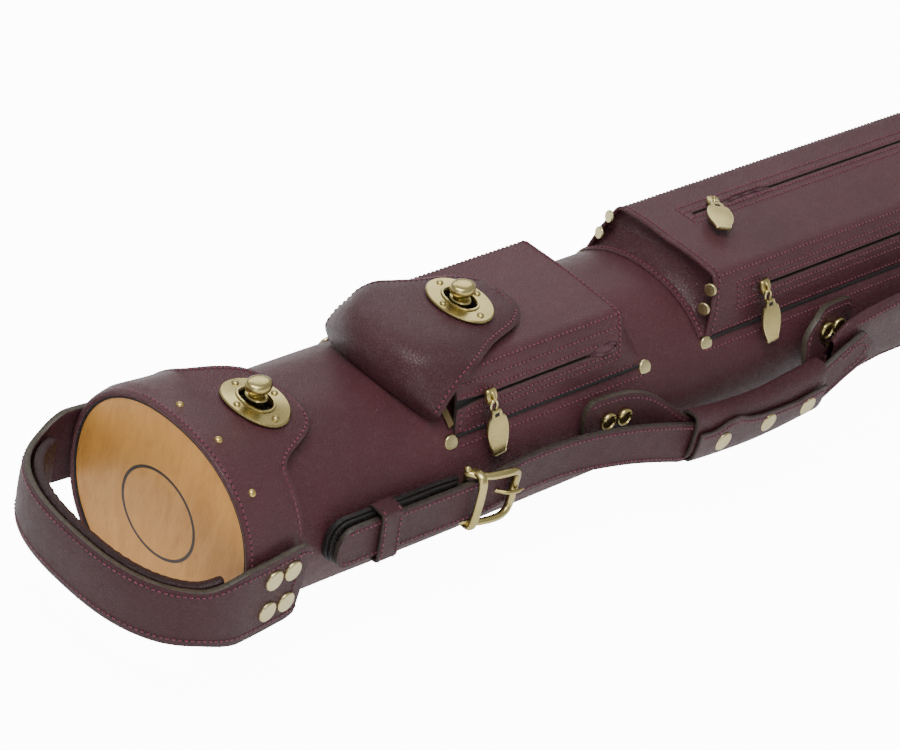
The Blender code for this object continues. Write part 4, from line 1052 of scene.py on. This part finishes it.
def make_large_pocket():
    side = Zip(arc_at_z(41.0), 334.0, 783.0, (333.5, 346.0, 2.3))
    top = Zip(arc_at_y(11.0), 338.0, 783.0, (352.0, 396.0, 1.6))
    xs = sorted(set([307.9, 308.4, 309.5, 311, 313, 316, 320, 326, 332] + list(np.arange(333.9, 400, 2.0))
                    + [333.95, 334.05, 337.95, 338.05, 337.0] + list(np.arange(400, 784, 12.0))
                    + [782.9, 783.1, 786, 789, 792, 794, 796, 797.5, 799, 800]))

    def fullness(x):
        return 1 - 0.97 * smoothstep((x - 790) / 10.5)

    def front_x(z):
        """The front edge leans: it stands further back at the top than at the seam."""
        return 302.5 + 6.0 * np.clip((z - 22) / 32, 0, 1) ** 0.8

    def front(x, y, z):
        start = front_x(z)
        return start + (x - start) * np.clip((x - 307.9) / 14, 0, 1) if x < 322 else np.full(len(y), x)

    def bow(y):
        return 0.9 * np.sin(np.clip(np.abs(y), 0, 33) / 33 * 3.14)

    def crown(x, y):
        return (1 - float(np.clip((x - 308) / 20, 0, 1))) * bow(y)

    pocket_skin("large_pocket_skin", xs, [side, top], fullness, crown, ("large_pocket",), front)
    s = side.arc
    for label, offset, x0, x1 in (("a", arc_at_z(52.4) - s, 312, 786), ("b", 6.5, 322, 786),
                                  ("c", 2.9, 326, 786), ("d", -3.4, 326, 786), ("e", -7.4, 322, 786),
                                  ("f", arc_at_z(26.0) - s, 308, 794)):
        for mirror, word in ((1, "near"), (-1, "far")):
            if mirror < 0 and label in "bcde":
                continue
            path = [p * np.array([1, mirror, 1]) for p in side_path(x0, x1, s + offset, 8.0)]
            stitches(f"large_pocket_{word}_{label}", path, "large_pocket_skin", "case")
    stitches("large_pocket_box_side", arc_path(324, s - 7.4, s + 6.5), "large_pocket_skin", "case")
    for label, offset in (("a", -7.0), ("b", -2.9), ("c", 2.9), ("d", 7.0)):
        path = side_path(334, 786, top.arc + offset, 8.0)
        stitches(f"large_pocket_top_{label}", path, "large_pocket_skin", "case")
    stitches("large_pocket_box_top", arc_path(333, top.arc - 7, top.arc + 7), "large_pocket_skin", "case")
    for mirror, word in ((1, "near"), (-1, "far")):
        stitches(f"large_pocket_ground_{word}", body_path(300, 800, 20.0, -mirror, 8.0), "body_skin", "case")
        # painted shade: a black tube along the foot of the pocket stands for the shade where it meets the body
        seam = [p * np.array([1, mirror, 1]) for p in side_path(303, 800, 0.25, 8.0)]
        tube(f"large_pocket_seam_shade_{word}", seam, 0.8, SHADE_BLACK, "case", 6)
    teeth("top_zip_teeth", top, 352, 396, "top_zip_tape")
    teeth("side_zip_teeth", side, 334, 346, "side_zip_tape")
    p, n = profile_at(np.linspace(0.0, ARC[-1], 90))
    edge = np.c_[front_x(p[:, 1]), p[:, 0], p[:, 1] + bow(p[:, 0])]
    tube("large_pocket_piping", edge + at_x(-0.4, n * -0.3), 1.15, BURGUNDY, "case", 10)
    stitches("large_pocket_front_stitches", edge + at_x(2.6, n * 0.5), "large_pocket_skin", "case")
    rows = []
    for v in np.linspace(0, 1, 17):
        row = []
        for (y, z), x in zip(p, edge[:, 0]):
            ground = float(body_z(min(abs(y), SEAM_Y), 0.3))
            hollow = math.sin(math.pi * min(1.0, v * 1.05)) * min(1.0, (z - ground) / 12)
            fold = 0.9 * math.sin(abs(y) / 2.6) * smoothstep((abs(y) - 22) / 10) * math.sin(math.pi * v)
            row.append((300.2 + (x - 300.2) * v ** 0.8 + 3.6 * hollow + fold * 0.5, y * (1 - 0.012 * hollow),
                        ground + (z - ground) * v - 0.2))
        rows.append(row)
    sheet("large_pocket_end_wall", rows, [SOFT_BURGUNDY, EDGE], "case", 0.0)
    ys = np.linspace(-41, 41, 40)
    flange = np.c_[297.6 - 0.0028 * (41 - np.abs(ys)) ** 1.4, ys, body_z(ys, 0.35)]
    low = [flange + (d, 0, h) for d, h in ((0, 0.0), (0.2, 0.8), (1.0, 1.1), (4.2, 1.0))]
    sheet("large_pocket_flange", low, [BURGUNDY, EDGE], "case", 0.0)
    stitches("large_pocket_flange_stitches", flange + (1.9, 0, 1.2), "large_pocket_flange", "case")
    spots = [((x, side * y, z), (-1, side * 0.25, 0.1)) for side in (-1, 1)
             for x, y, z in ((304.9, 34.4, 47.5), (302.3, 35.6, 38.0))]
    turned("large_pocket_wall_rivets", cap_profile(3.2, 1.1), spots, BRIGHT_BRASS, "case", 24)


def make_slider(prefix, middle, out, down, body, pull_body):
    middle, out, down = np.array(middle), unit(out), unit(down)
    across = unit(np.cross(out, down))

    def spot(u, v, h):
        return middle + across * u + down * v + out * h

    block = [(-3.0, -3.4), (-2.2, -4.2), (2.2, -4.2), (3.0, -3.4), (3.3, 0), (2.5, 2.8), (1.6, 3.5),
             (-1.6, 3.5), (-2.5, 2.8), (-3.3, 0)]
    block = evenly(np.array([(*p, 0) for p in block + block[:1]]), 41)[:-1, :2]
    slab(f"{prefix}_slider_block", block, None, spot, 2.3, BRASS, body, 0.5, (f"{prefix}_zip_slider",),
         crowned=0.5)
    bridge = [spot(0, v, 1.6 + 2.3 * math.sin(math.pi * k / 8))
              for k, v in enumerate(np.linspace(-3.0, 2.8, 9))]
    tube(f"{prefix}_slider_bridge", bridge, 0.75, BRASS, body, 10)
    hoop = [spot(2.0 * math.sin(t), 3.9 - 2.7 * math.cos(t), 3.0 + 0.35 * math.cos(t))
            for t in np.linspace(0, 2 * math.pi, 25)[:-1]]
    tube(f"{prefix}_pull_ring", hoop, 0.6, BRIGHT_BRASS, pull_body, 10, closed=True)
    start, length = 5.4, 22.3
    outline = [(2.1, 0.0), (2.6, 0.6), (3.1, 3.0)]
    for k in range(13):
        t = k / 12
        outline.append((3.4 + 3.0 * math.sin(math.pi * (0.16 + 0.76 * t)) ** 0.9, 4.2 + (length - 6.8) * t))
    outline += [(3.9, length - 0.9), (3.5, length)]
    outline = outline + [(-u, v) for u, v in outline[::-1]]
    centre = length / 2
    outline = evenly(np.array([(u, v - centre, 0) for u, v in outline + outline[:1]]), 73)[:-1, :2]
    slab(f"{prefix}_pull_plate", outline, None, lambda u, v, h: spot(u, v + start + centre, h + 3.0), 1.6,
         BRASS, pull_body, 0.35, (f"{prefix}_zip_pull",), crowned=0.35)
    rim = [spot(u * 0.965, (v * 0.965) + start + centre, 4.55) for u, v in outline]
    tube(f"{prefix}_pull_rim", rim, 0.38, BRIGHT_BRASS, pull_body, 6, closed=True)
    # painted shade: a thin black plate on the pull stands for the window cut through it
    window = [(-1.5, -0.9), (1.5, -0.9), (1.5, 0.9), (-1.5, 0.9)]
    window = evenly(np.array([(*p, 0) for p in window + window[:1]]), 25)[:-1, :2]
    slab(f"{prefix}_pull_window_shade", window, None, lambda u, v, h: spot(u, v + start + 2.6, h + 4.55), 0.25,
         SHADE_BLACK, pull_body, 0.1)


def make_sliders():
    near = np.array([0.0995, -0.337, -0.936])
    make_slider("small", to_design((-0.2545, -0.03388, 0.091071)), (0, -0.951, 0.309),
                (0.0995, -0.307, -0.946), "small_slider", "small_pull")
    make_slider("side", to_design((-0.0665, -0.032961, 0.093627)), (0, -0.941, 0.339), near, "side_slider",
                "side_pull")
    make_slider("top", (352.0, 11.0, 55.7), (0, 0, 1), (-0.61, -0.79, 0), "top_slider", "top_pull")


# --- flap ---------------------------------------------------------------------------------------------------
FLAP_LINE = ((110.4, 40.2), (109.2, 44.0), (108.9, 50.0), (110.8, 55.6), (115.2, 59.6), (122, 61.4),
             (134, 61.9), (150, 61.2), (165, 60.8), (178, 60.1), (187, 58.8), (195.6, 57.2))
FLAP_EDGE = ((122.9, 34.6, 31.4), (123.4, 38.6, 36.8), (127.4, 38.4, 43.4), (132.6, 37.6, 48.2),
             (138.2, 37.2, 53.2), (145.4, 35.2, 56.3), (154, 31.2, 57.0), (163, 27.3, 57.3),
             (176.3, 23.5, 57.3), (184, 20.6, 57.0), (190.8, 15.5, 56.8), (194.4, 9.8, 56.6))


def make_flap():
    """A hood: each row runs over the middle line from one edge to the other."""
    middle = curve([(x, 0, z) for x, z in FLAP_LINE], 90)
    edge = curve(FLAP_EDGE, 90)
    us = np.sin(np.linspace(-1, 1, 49) * 1.5) / math.sin(1.5)
    rows = []
    for m, e, t in zip(middle, edge, np.linspace(0, 1, 90)):
        share = np.abs(us)
        x = m[0] + (e[0] - m[0]) * share ** 2.5
        z = m[2] + (e[2] - m[2]) * share ** (2.6 + 1.2 * smoothstep(t * 4))
        puff = 0.5 * math.sin(min(1.0, t * 4) * math.pi) * np.sin(us * 7)
        rows.append(np.c_[x - puff, us * e[1], z])
    bend = ("case", "flap", (112, 0, 41), (112, 0, 50))
    sheet("flap_leather", rows, [SOFT_BURGUNDY, EDGE, SUEDE], "flap", 2.4, inside=(160, 0, 30), bevel=0.6,
          stands=("pocket_flap",), bend=bend, slot_x=165.0)
    rows = np.asarray(rows)
    for word, order in (("near", 1), ("far", -1)):
        line = []
        for row in rows[5:-6, ::order]:
            steps = np.r_[0, np.cumsum(np.linalg.norm(np.diff(row, axis=0), axis=1))]
            line.append([np.interp(3.0, steps, row[:, i]) for i in range(3)])
        stitches(f"flap_{word}_stitches", np.array(line) + (0, -order * 0.5, 0.5), "flap_leather", "flap",
                 bend=bend)
    stitches("flap_tip_stitches", rows[-1][6:-6] + np.array([-3.2, 0, 0.6]), "flap_leather", "flap")


# --- straps, buckle and keeper ------------------------------------------------------------------------------
STRAP_ROUTE = ((50.5, -60.3, 3.4), (62.0, -60.3, 3.2), (78.0, -60.2, 2.8), (92.0, -60.2, 2.2),
               (105.0, -60.6, 2.4), (118.0, -61.4, 3.0), (131.0, -61.9, 3.6), (143.0, -61.7, 4.0),
               (155.0, -60.9, 4.3), (166.0, -60.4, 4.5), (180.0, -60.4, 4.5), (195.0, -60.9, 4.1),
               (210.0, -62.5, 3.4), (232.0, -65.5, 1.2), (250.0, -68.2, -1.8), (264.0, -69.6, -5.4),
               (272.0, -70.1, -7.2), (300.0, -70.2, -8.4), (330.0, -70.2, -8.4), (354.0, -70.2, -7.8),
               (365.0, -70.1, -6.6), (373.0, -70.0, -2.6), (384.0, -69.9, 3.4), (398.0, -69.7, 9.4))


TIP_SHARES = np.array([0.02, 0.08, 0.18, 0.34, 0.55, 0.8, 1.0])


def strap_grid(route, half, tips, step=2.5):
    """Rows across a strap along a route, to a half width or the route's own fourth number.

    tips are how far each end takes to round off.
    """
    path = curve(route, max(8, int(length_of(route) / step)))
    ahead = unit(np.gradient(path[:, :3], axis=0))
    across = unit(np.c_[-ahead[:, 2], 0 * ahead[:, 0], ahead[:, 0]])
    s = spots = np.r_[0, np.cumsum(np.linalg.norm(np.diff(path[:, :3], axis=0), axis=1))]
    if tips[0]:
        spots = np.r_[tips[0] * TIP_SHARES, s[s > tips[0] + 0.5]]
    if tips[1]:
        spots = np.r_[spots[spots < s[-1] - tips[1] - 0.5], s[-1] - tips[1] * TIP_SHARES[::-1]]
    rows = []
    for v in spots:
        h = half or float(np.interp(v, s, path[:, 3]))
        for tip, gap in ((tips[0], v), (tips[1], s[-1] - v)):
            if tip and gap < tip:
                h *= math.sqrt(max(0.0, 1 - (1 - gap / tip) ** 2.6))
        p, w = (np.array([np.interp(v, s, line[:, i]) for i in range(3)]) for line in (path, across))
        rows.append([p + w * h * k for k in np.linspace(-1, 1, 9)])
    return np.asarray(rows)


def edge_stitches(name, grid, inset, target, rows, bend=None):
    """A line of stitches inside each long edge of a strap, along some of its rows."""
    middle = grid[:, 4]
    for column, word in ((0, "low"), (-1, "top")):
        reach = np.linalg.norm(grid[:, column] - middle, axis=1, keepdims=True)
        line = middle + (grid[:, column] - middle) * np.clip(1 - inset / np.maximum(reach, 0.1), 0, 1)
        stitches(f"{name}_{word}", line[rows] + (0, -1.5, 0), target, "case", bend)


def make_straps():
    grid = strap_grid(STRAP_ROUTE, 10.5, (9.0, 0))
    grid[-1, :, 0] += 5.0 - 7.0 * np.abs(np.linspace(-1, 1, 9))
    sheet("shoulder_strap_leather", grid, [STRAP_LEATHER, EDGE], "case", 2.6, bevel=0.45,
          stands=("shoulder_strap",))
    edge_stitches("shoulder_strap_stitches", grid, 2.0, "shoulder_strap_leather", slice(4, None))
    under = strap_grid(((48.2, -54.9, 4.6), (60, -55.2, 4.6), (90, -55.3, 4.4), (112, -55.5, 4.2),
                        (124, -56.3, 4.0)),
                       11.2, (9.0, 0))
    sheet("buckle_strap_leather", under, [BLACK_LEATHER, BLACK_LEATHER], "case", 2.2, bevel=0.5,
          stands=("buckle_strap",))
    ridge = strap_grid(((49.2, -57.2, 4.2), (60, -57.3, 4.2), (90, -57.4, 3.8), (110, -57.8, 3.8),
                        (122, -58.6, 3.8)),
                       11.0, (9.0, 0))
    sheet("buckle_strap_layer", ridge, [BLACK_LEATHER, BLACK_LEATHER], "case", 1.2, bevel=0.4)
    rows = []
    for x in (73.6, 74.0, 75, 77, 79.5, 82, 84, 85.0, 85.4):
        yz = ring(5.4, 14.6, 6.0, 0.0, 64)
        rows.append(np.c_[x - 0.12 * yz[:, 1] + 0.3, yz + (-58.6, 3.2)])
    sheet("keeper_loop", rows, [STRAP_LEATHER, EDGE], "keeper", 1.6, inside=(79.5, -58.6, 3.2), closed=True,
          bevel=0.35, stands=("strap_keeper",))
    for word, row in (("front", rows[2]), ("rear", rows[6])):
        line = sorted((p for p in row if p[1] < -60), key=lambda p: p[2])
        stitches(f"keeper_stitches_{word}", line, "keeper_loop", "keeper")
    tail = strap_grid(((694, -62.2, 4.3), (700.6, -61.4, 4), (720, -59.5, 3), (745, -57.4, 2),
                       (770, -56.2, 2), (791, -56.0, 2)), 10.5, (0, 9.0))
    sheet("strap_tail_leather", tail, [STRAP_LEATHER, EDGE], "case", 2.6, bevel=0.45,
          stands=("shoulder_strap_tail",))
    edge_stitches("strap_tail_stitches", tail, 2.0, "strap_tail_leather", slice(0, -4))
    turned("strap_tail_caps", cap_profile(4.2, 1.5),
           [((772, -57.6, 2), (0, -1, 0)), ((783, -57.5, 2), (0, -1, 0))], BRIGHT_BRASS, "case", 28)


def make_buckle():
    low, high = -9.2, 16.2
    frame_path = [(128.4, -57.6, low + 1.5), (128.6, -58.4, low), (131.5, -61.6, low - 0.4),
                  (137, -64.6, low - 0.2), (146, -66.2, low + 0.1), (151.6, -65.8, low + 1.2),
                  (154.6, -64.9, low + 4.6), (155.2, -64.4, 3.5), (154.6, -64.9, high - 4.6),
                  (151.6, -65.8, high - 1.2), (146, -66.2, high - 0.1), (137, -64.6, high + 0.2),
                  (131.5, -61.6, high + 0.4), (128.6, -58.4, high), (128.4, -57.6, high - 1.5)]
    path = curve(frame_path, 110)[:, :3]
    wide = 1.65 + 0.35 * np.sin(np.linspace(0, math.pi, 110)) ** 2
    tube("buckle_ring", path, wide, BRASS, "buckle", 16, ("buckle_frame",), up=(0, 1, 0))
    tube("buckle_pin_bar", [(128.4, -57.5, z) for z in np.linspace(low - 1.0, high + 1.6, 12)], 1.15, BRASS,
         "buckle", 14)
    turned("buckle_pin_ends", [(0.4, 1.7), (1.1, 1.4), (1.6, 0.6), (1.7, 0), (1.6, -0.6), (1.2, -1.2)],
           [((128.4, -57.5, high + 2.2), (0, 0, 1)), ((128.4, -57.5, low - 1.8), (0, 0, -1))], BRASS,
           "buckle", 18)
    hold = curve([(131.4, -58.6, high + 1.2), (131.2, -62.6, high + 1.7), (131.0, -65.3, high + 0.6),
                  (131.2, -66.4, high - 3.0), (131.4, -66.6, 3.5), (131.2, -66.3, low + 2.8),
                  (131.0, -65.2, low - 0.8), (131.2, -62.4, low - 1.8), (131.4, -58.6, low - 1.3)], 60)[:, :3]
    tube("buckle_hold_bar", hold, 2.15, BRASS, "buckle", 16, flat=0.62, up=(0, -1, 0))
    prong = curve([(129.9, -58.6, 3.9), (136, -59.0, 3.9), (142.4, -59.4, 3.9), (146.0, -62.8, 3.9),
                   (149.4, -66.2, 3.9), (153.5, -67.6, 3.9), (158.4, -67.7, 3.9)], 40)[:, :3]
    size = np.interp(np.linspace(0, 1, 40), (0, 0.9, 1.0), (1.15, 0.95, 0.35))
    tube("buckle_prong_bar", prong, size, BRASS, "prong", 12, ("buckle_prong",))
    wrap = strap_grid(((121, -58.4, 3.9), (125, -59.5, 3.9), (127.6, -60.2, 3.9), (129.6, -59.0, 3.9)), 9.2,
                      (0, 0))
    sheet("buckle_strap_fold", wrap, [BLACK_LEATHER, BLACK_LEATHER], "case", 1.6, bevel=0.4)


# --- shoulder pad -------------------------------------------------------------------------------------------
PAD_LEVELS = ((377.0, 4.0, 0.5), (380, 4.4, 0.74), (386.0, 5.2, 0.93), (398.0, 6.8, 1.0), (420.0, 9.2, 1.0),
              (660.0, 9.2, 1.0), (684.0, 7.6, 0.95), (694.0, 5.6, 0.75), (700.6, 4.6, 0.5))
PAD_HALF = 18.5


def pad_level(x):
    """Middle height of the pad at x, and its share of the full width."""
    return (float(np.interp(x, *np.array(PAD_LEVELS)[:, [0, i]].T)) for i in (1, 2))


def make_pad():
    """A sewn pad: a flat edge all round with a stuffed middle."""
    rows = []
    us = np.linspace(-1, 1, 25)
    for x in (*np.linspace(377, 392, 11), *np.arange(396, 684, 6.0), 684.0, *np.linspace(688, 700.6, 9)):
        middle, share = pad_level(x)
        puff = (1 - np.abs(us) ** 5) ** 0.8 * (0.35 + 0.65 * smoothstep(min(x - 377, 700.6 - x) / 14))
        dent = 0.25 * np.sin(x / 17.0) * np.cos(us * 2.2) + 0.15 * np.sin(x / 7.3 + us * 3)
        z = middle + us * PAD_HALF * share
        outer, inner = -64.2 - 3.0 * puff - dent * puff, -62.6 + 3.0 * puff
        rows.append(at_x(x, np.r_[np.c_[outer, z], np.c_[inner, z][::-1]]))
    item = row_skin("shoulder_pad_leather", rows, [0] * (len(rows) - 1), [SOFT_BURGUNDY], "case",
                    (540, -63.4, 9), ("shoulder_pad",), angle=60)
    for word, inset in (("low", -0.88), ("top", 0.88)):
        line = []
        for x in np.arange(392, 688, 6.0):
            middle, share = pad_level(x)
            line.append(np.array([x, -68.5, middle + inset * PAD_HALF * share]))
        stitches(f"pad_stitches_{word}", line, "shoulder_pad_leather", "case")
    tip = [(379.5, -72.2, 6.5), (388, -72.2, 12.0), (397, -72.2, 9.4), (393, -72.2, 2.4), (384, -72.2, -2.0)]
    stitches("strap_on_pad_stitches", curve(tip, 40)[:, :3], "shoulder_strap_leather", "case")


# --- carry handle -------------------------------------------------------------------------------------------
def make_carry_handle():
    front = ((208.6, -53.9, 12.2, 11.6), (214, -54.3, 12.4, 11.6), (222, -54.6, 12.4, 11.5),
             (230, -54.9, 12.0, 11.3), (238, -55.4, 11.4, 11.0), (245, -56.4, 9.6, 10.6),
             (252, -58.4, 6.0, 10.1), (258.5, -61.0, 2.0, 9.4), (264.5, -63.8, -1.0, 8.5),
             (270.5, -65.4, -3.0, 7.7), (280, -65.7, -4, 7.2))
    grid = strap_grid(front, None, (7.0, 0))
    lean = np.clip(grid[:, :, 2] - 8, 0, None) * np.clip((252 - grid[:, :, 0]) / 20, 0, 1) * 0.14
    grid[:, :, 1] += lean
    bend = ("case", "carry_handle", (245, -56, 8), (262, -56, 8))
    sheet("handle_strap_front", grid, [STRAP_LEATHER, TAN_EDGE], "case", 3.0, bevel=0.6,
          stands=("handle_anchor_front", "carry_handle_strap"), bend=bend)
    edge_stitches("handle_front_stitches", grid, 2.4, "handle_strap_front", slice(4, None), bend)
    rear = ((365.5, -64.8, -2.4, 7.6), (368.0, -62.8, 1.6, 9.2), (370.4, -59.6, 7.6, 11.6),
            (373.0, -57.0, 11.6, 13.4), (378, -55.5, 13.4, 14.0), (386, -54.9, 13.6, 14.0),
            (394, -54.6, 13.5, 13.8), (400.4, -54.4, 13.4, 13.4))
    grid = strap_grid(rear, None, (0, 5.0), step=1.6)
    lean = np.clip(grid[:, :, 2] - 8, 0, None) * np.clip((grid[:, :, 0] - 368) / 8, 0, 1) * 0.14
    grid[:, :, 1] += lean
    bend = ("case", "carry_handle", (373, -56, 8), (366, -56, 8))
    sheet("handle_strap_rear", grid, [STRAP_LEATHER, TAN_EDGE], "case", 3.0, bevel=0.6,
          stands=("handle_anchor_rear",), bend=bend)
    edge_stitches("handle_rear_stitches", grid, 2.6, "handle_strap_rear", slice(0, -3), bend)
    turned("handle_caps_front", cap_profile(4.5, 2.0, True),
           [((222.9, -56.0, 12.2), (0, -1, 0.05)), ((233.6, -56.5, 11.6), (0, -1, 0.05))], BRASS, "case", 30,
           stands=("handle_rivets_front",))
    turned("handle_caps_rear", cap_profile(4.5, 2.0, True),
           [((378.4, -56.8, 15.6), (0, -1, 0.1)), ((388.6, -56.3, 14.9), (0, -1, 0.1)),
            ((387.4, -56.4, 2.6), (0, -1, 0.0))], BRASS, "case", 30, stands=("handle_rivets_rear",))


COVER_TOP = ((271, 0.4), (283, -0.6), (292, 1.6), (300, 1.9), (308, -1.0), (318, -2.6), (330, -3.2),
             (344, -3.4), (356, -1.6), (364, -0.2))


def grip_levels(x):
    """Top and bottom of the sagging grip at x."""
    t = np.clip((x - 271) / 93.5, 0, 1)
    sag = math.sin(math.pi * t)
    return 9.2 - 5.0 * sag, -16.6 - 3.0 * sag


def make_grip():
    rows = []
    for x in np.linspace(270.6, 364.9, 33):
        high, low = grip_levels(x)
        t = (x - 271) / 93.5
        yz = ring(6.5 - 0.25 * math.sin(math.pi * t), (high - low) / 2, 3.0, (high + low) / 2, 72)
        lean = (yz[:, 1] - high) / (high - low)
        wave = 0.25 * np.sin(x / 6.0 + yz[:, 1] / 3.0)
        rows.append(np.c_[x - 1.6 * lean * (1 if t > 0.5 else -1) * abs(2 * t - 1) ** 3,
                          yz[:, 0] - 68.0 + wave * 0.4, yz[:, 1]])
    sheet("grip_roll", rows, [SOFT_BURGUNDY, EDGE], "carry_handle", 2.3, inside=(318, -68, -6), closed=True,
          bevel=0.5, stands=("grip_wrap",))
    cover = []
    for x in np.linspace(271.4, 364.1, 45):
        edge = float(np.interp(x, *np.array(COVER_TOP).T))
        high, low = grip_levels(x)
        z = edge + (low - 1.4 - edge) * np.linspace(0, 1, 17)
        outer = arch(z - (high + low) / 2, (high - low) / 2 + 1.2, 7.6, 68.0, 3.0)
        cover.append(at_x(x, np.c_[-outer - 0.5 * np.linspace(1, 0, 17), z]))
    sheet("grip_cover_leather", cover, [SOFT_BURGUNDY, EDGE, DARK_LEATHER], "cover", 1.6,
          inside=(318, -68, -6), offset=0.0, bevel=0.4, stands=("grip_cover",))
    stitches("grip_cover_stitches", np.asarray(cover)[1:-1, 0] + (0, -1.2, -2.6), "grip_cover_leather",
             "cover")
    for number, x in enumerate((290.5, 323.5, 353.0), 1):
        turned(f"grip_snap_cap_{number}", cap_profile(5.3, 1.5), [((x, -75.6, -9.5), (0, -1, -0.12))],
               BRIGHT_BRASS, "cover", 32, stands=(f"grip_snap_{number}",))


make_body()
make_far_end()
make_lid()
make_lock("lid_lock", 46.0, lambda v: lid_z(v) + 0.35, 39.8, 49.2, 40.0, "tongue", "lid_knob")
make_loop()
make_small_pocket()
make_large_pocket()
make_sliders()
make_flap()
make_lock("pocket_lock", 165.0, lambda v: 61.3 - 0.44 * abs(v / 18.2) ** 3, 54.6, 64.2, 54.6, "flap",
          "pocket_knob")
make_straps()
make_buckle()
make_pad()
make_carry_handle()
make_grip()

BARE_NODES = {"core_shell": BOARD, "front_spacer": FOAM, "rear_pad": FOAM, "lid_pad": FOAM,
              **{f"butt_tube_{i}": LINER for i in (1, 2)}, **{f"shaft_tube_{i}": LINER for i in (1, 2, 3, 4)}}
for node, material in BARE_NODES.items():
    shown = bpy.data.objects[node]
    shown.data.materials.clear()
    shown.data.materials.append(material)

add_camera()
add_stage()
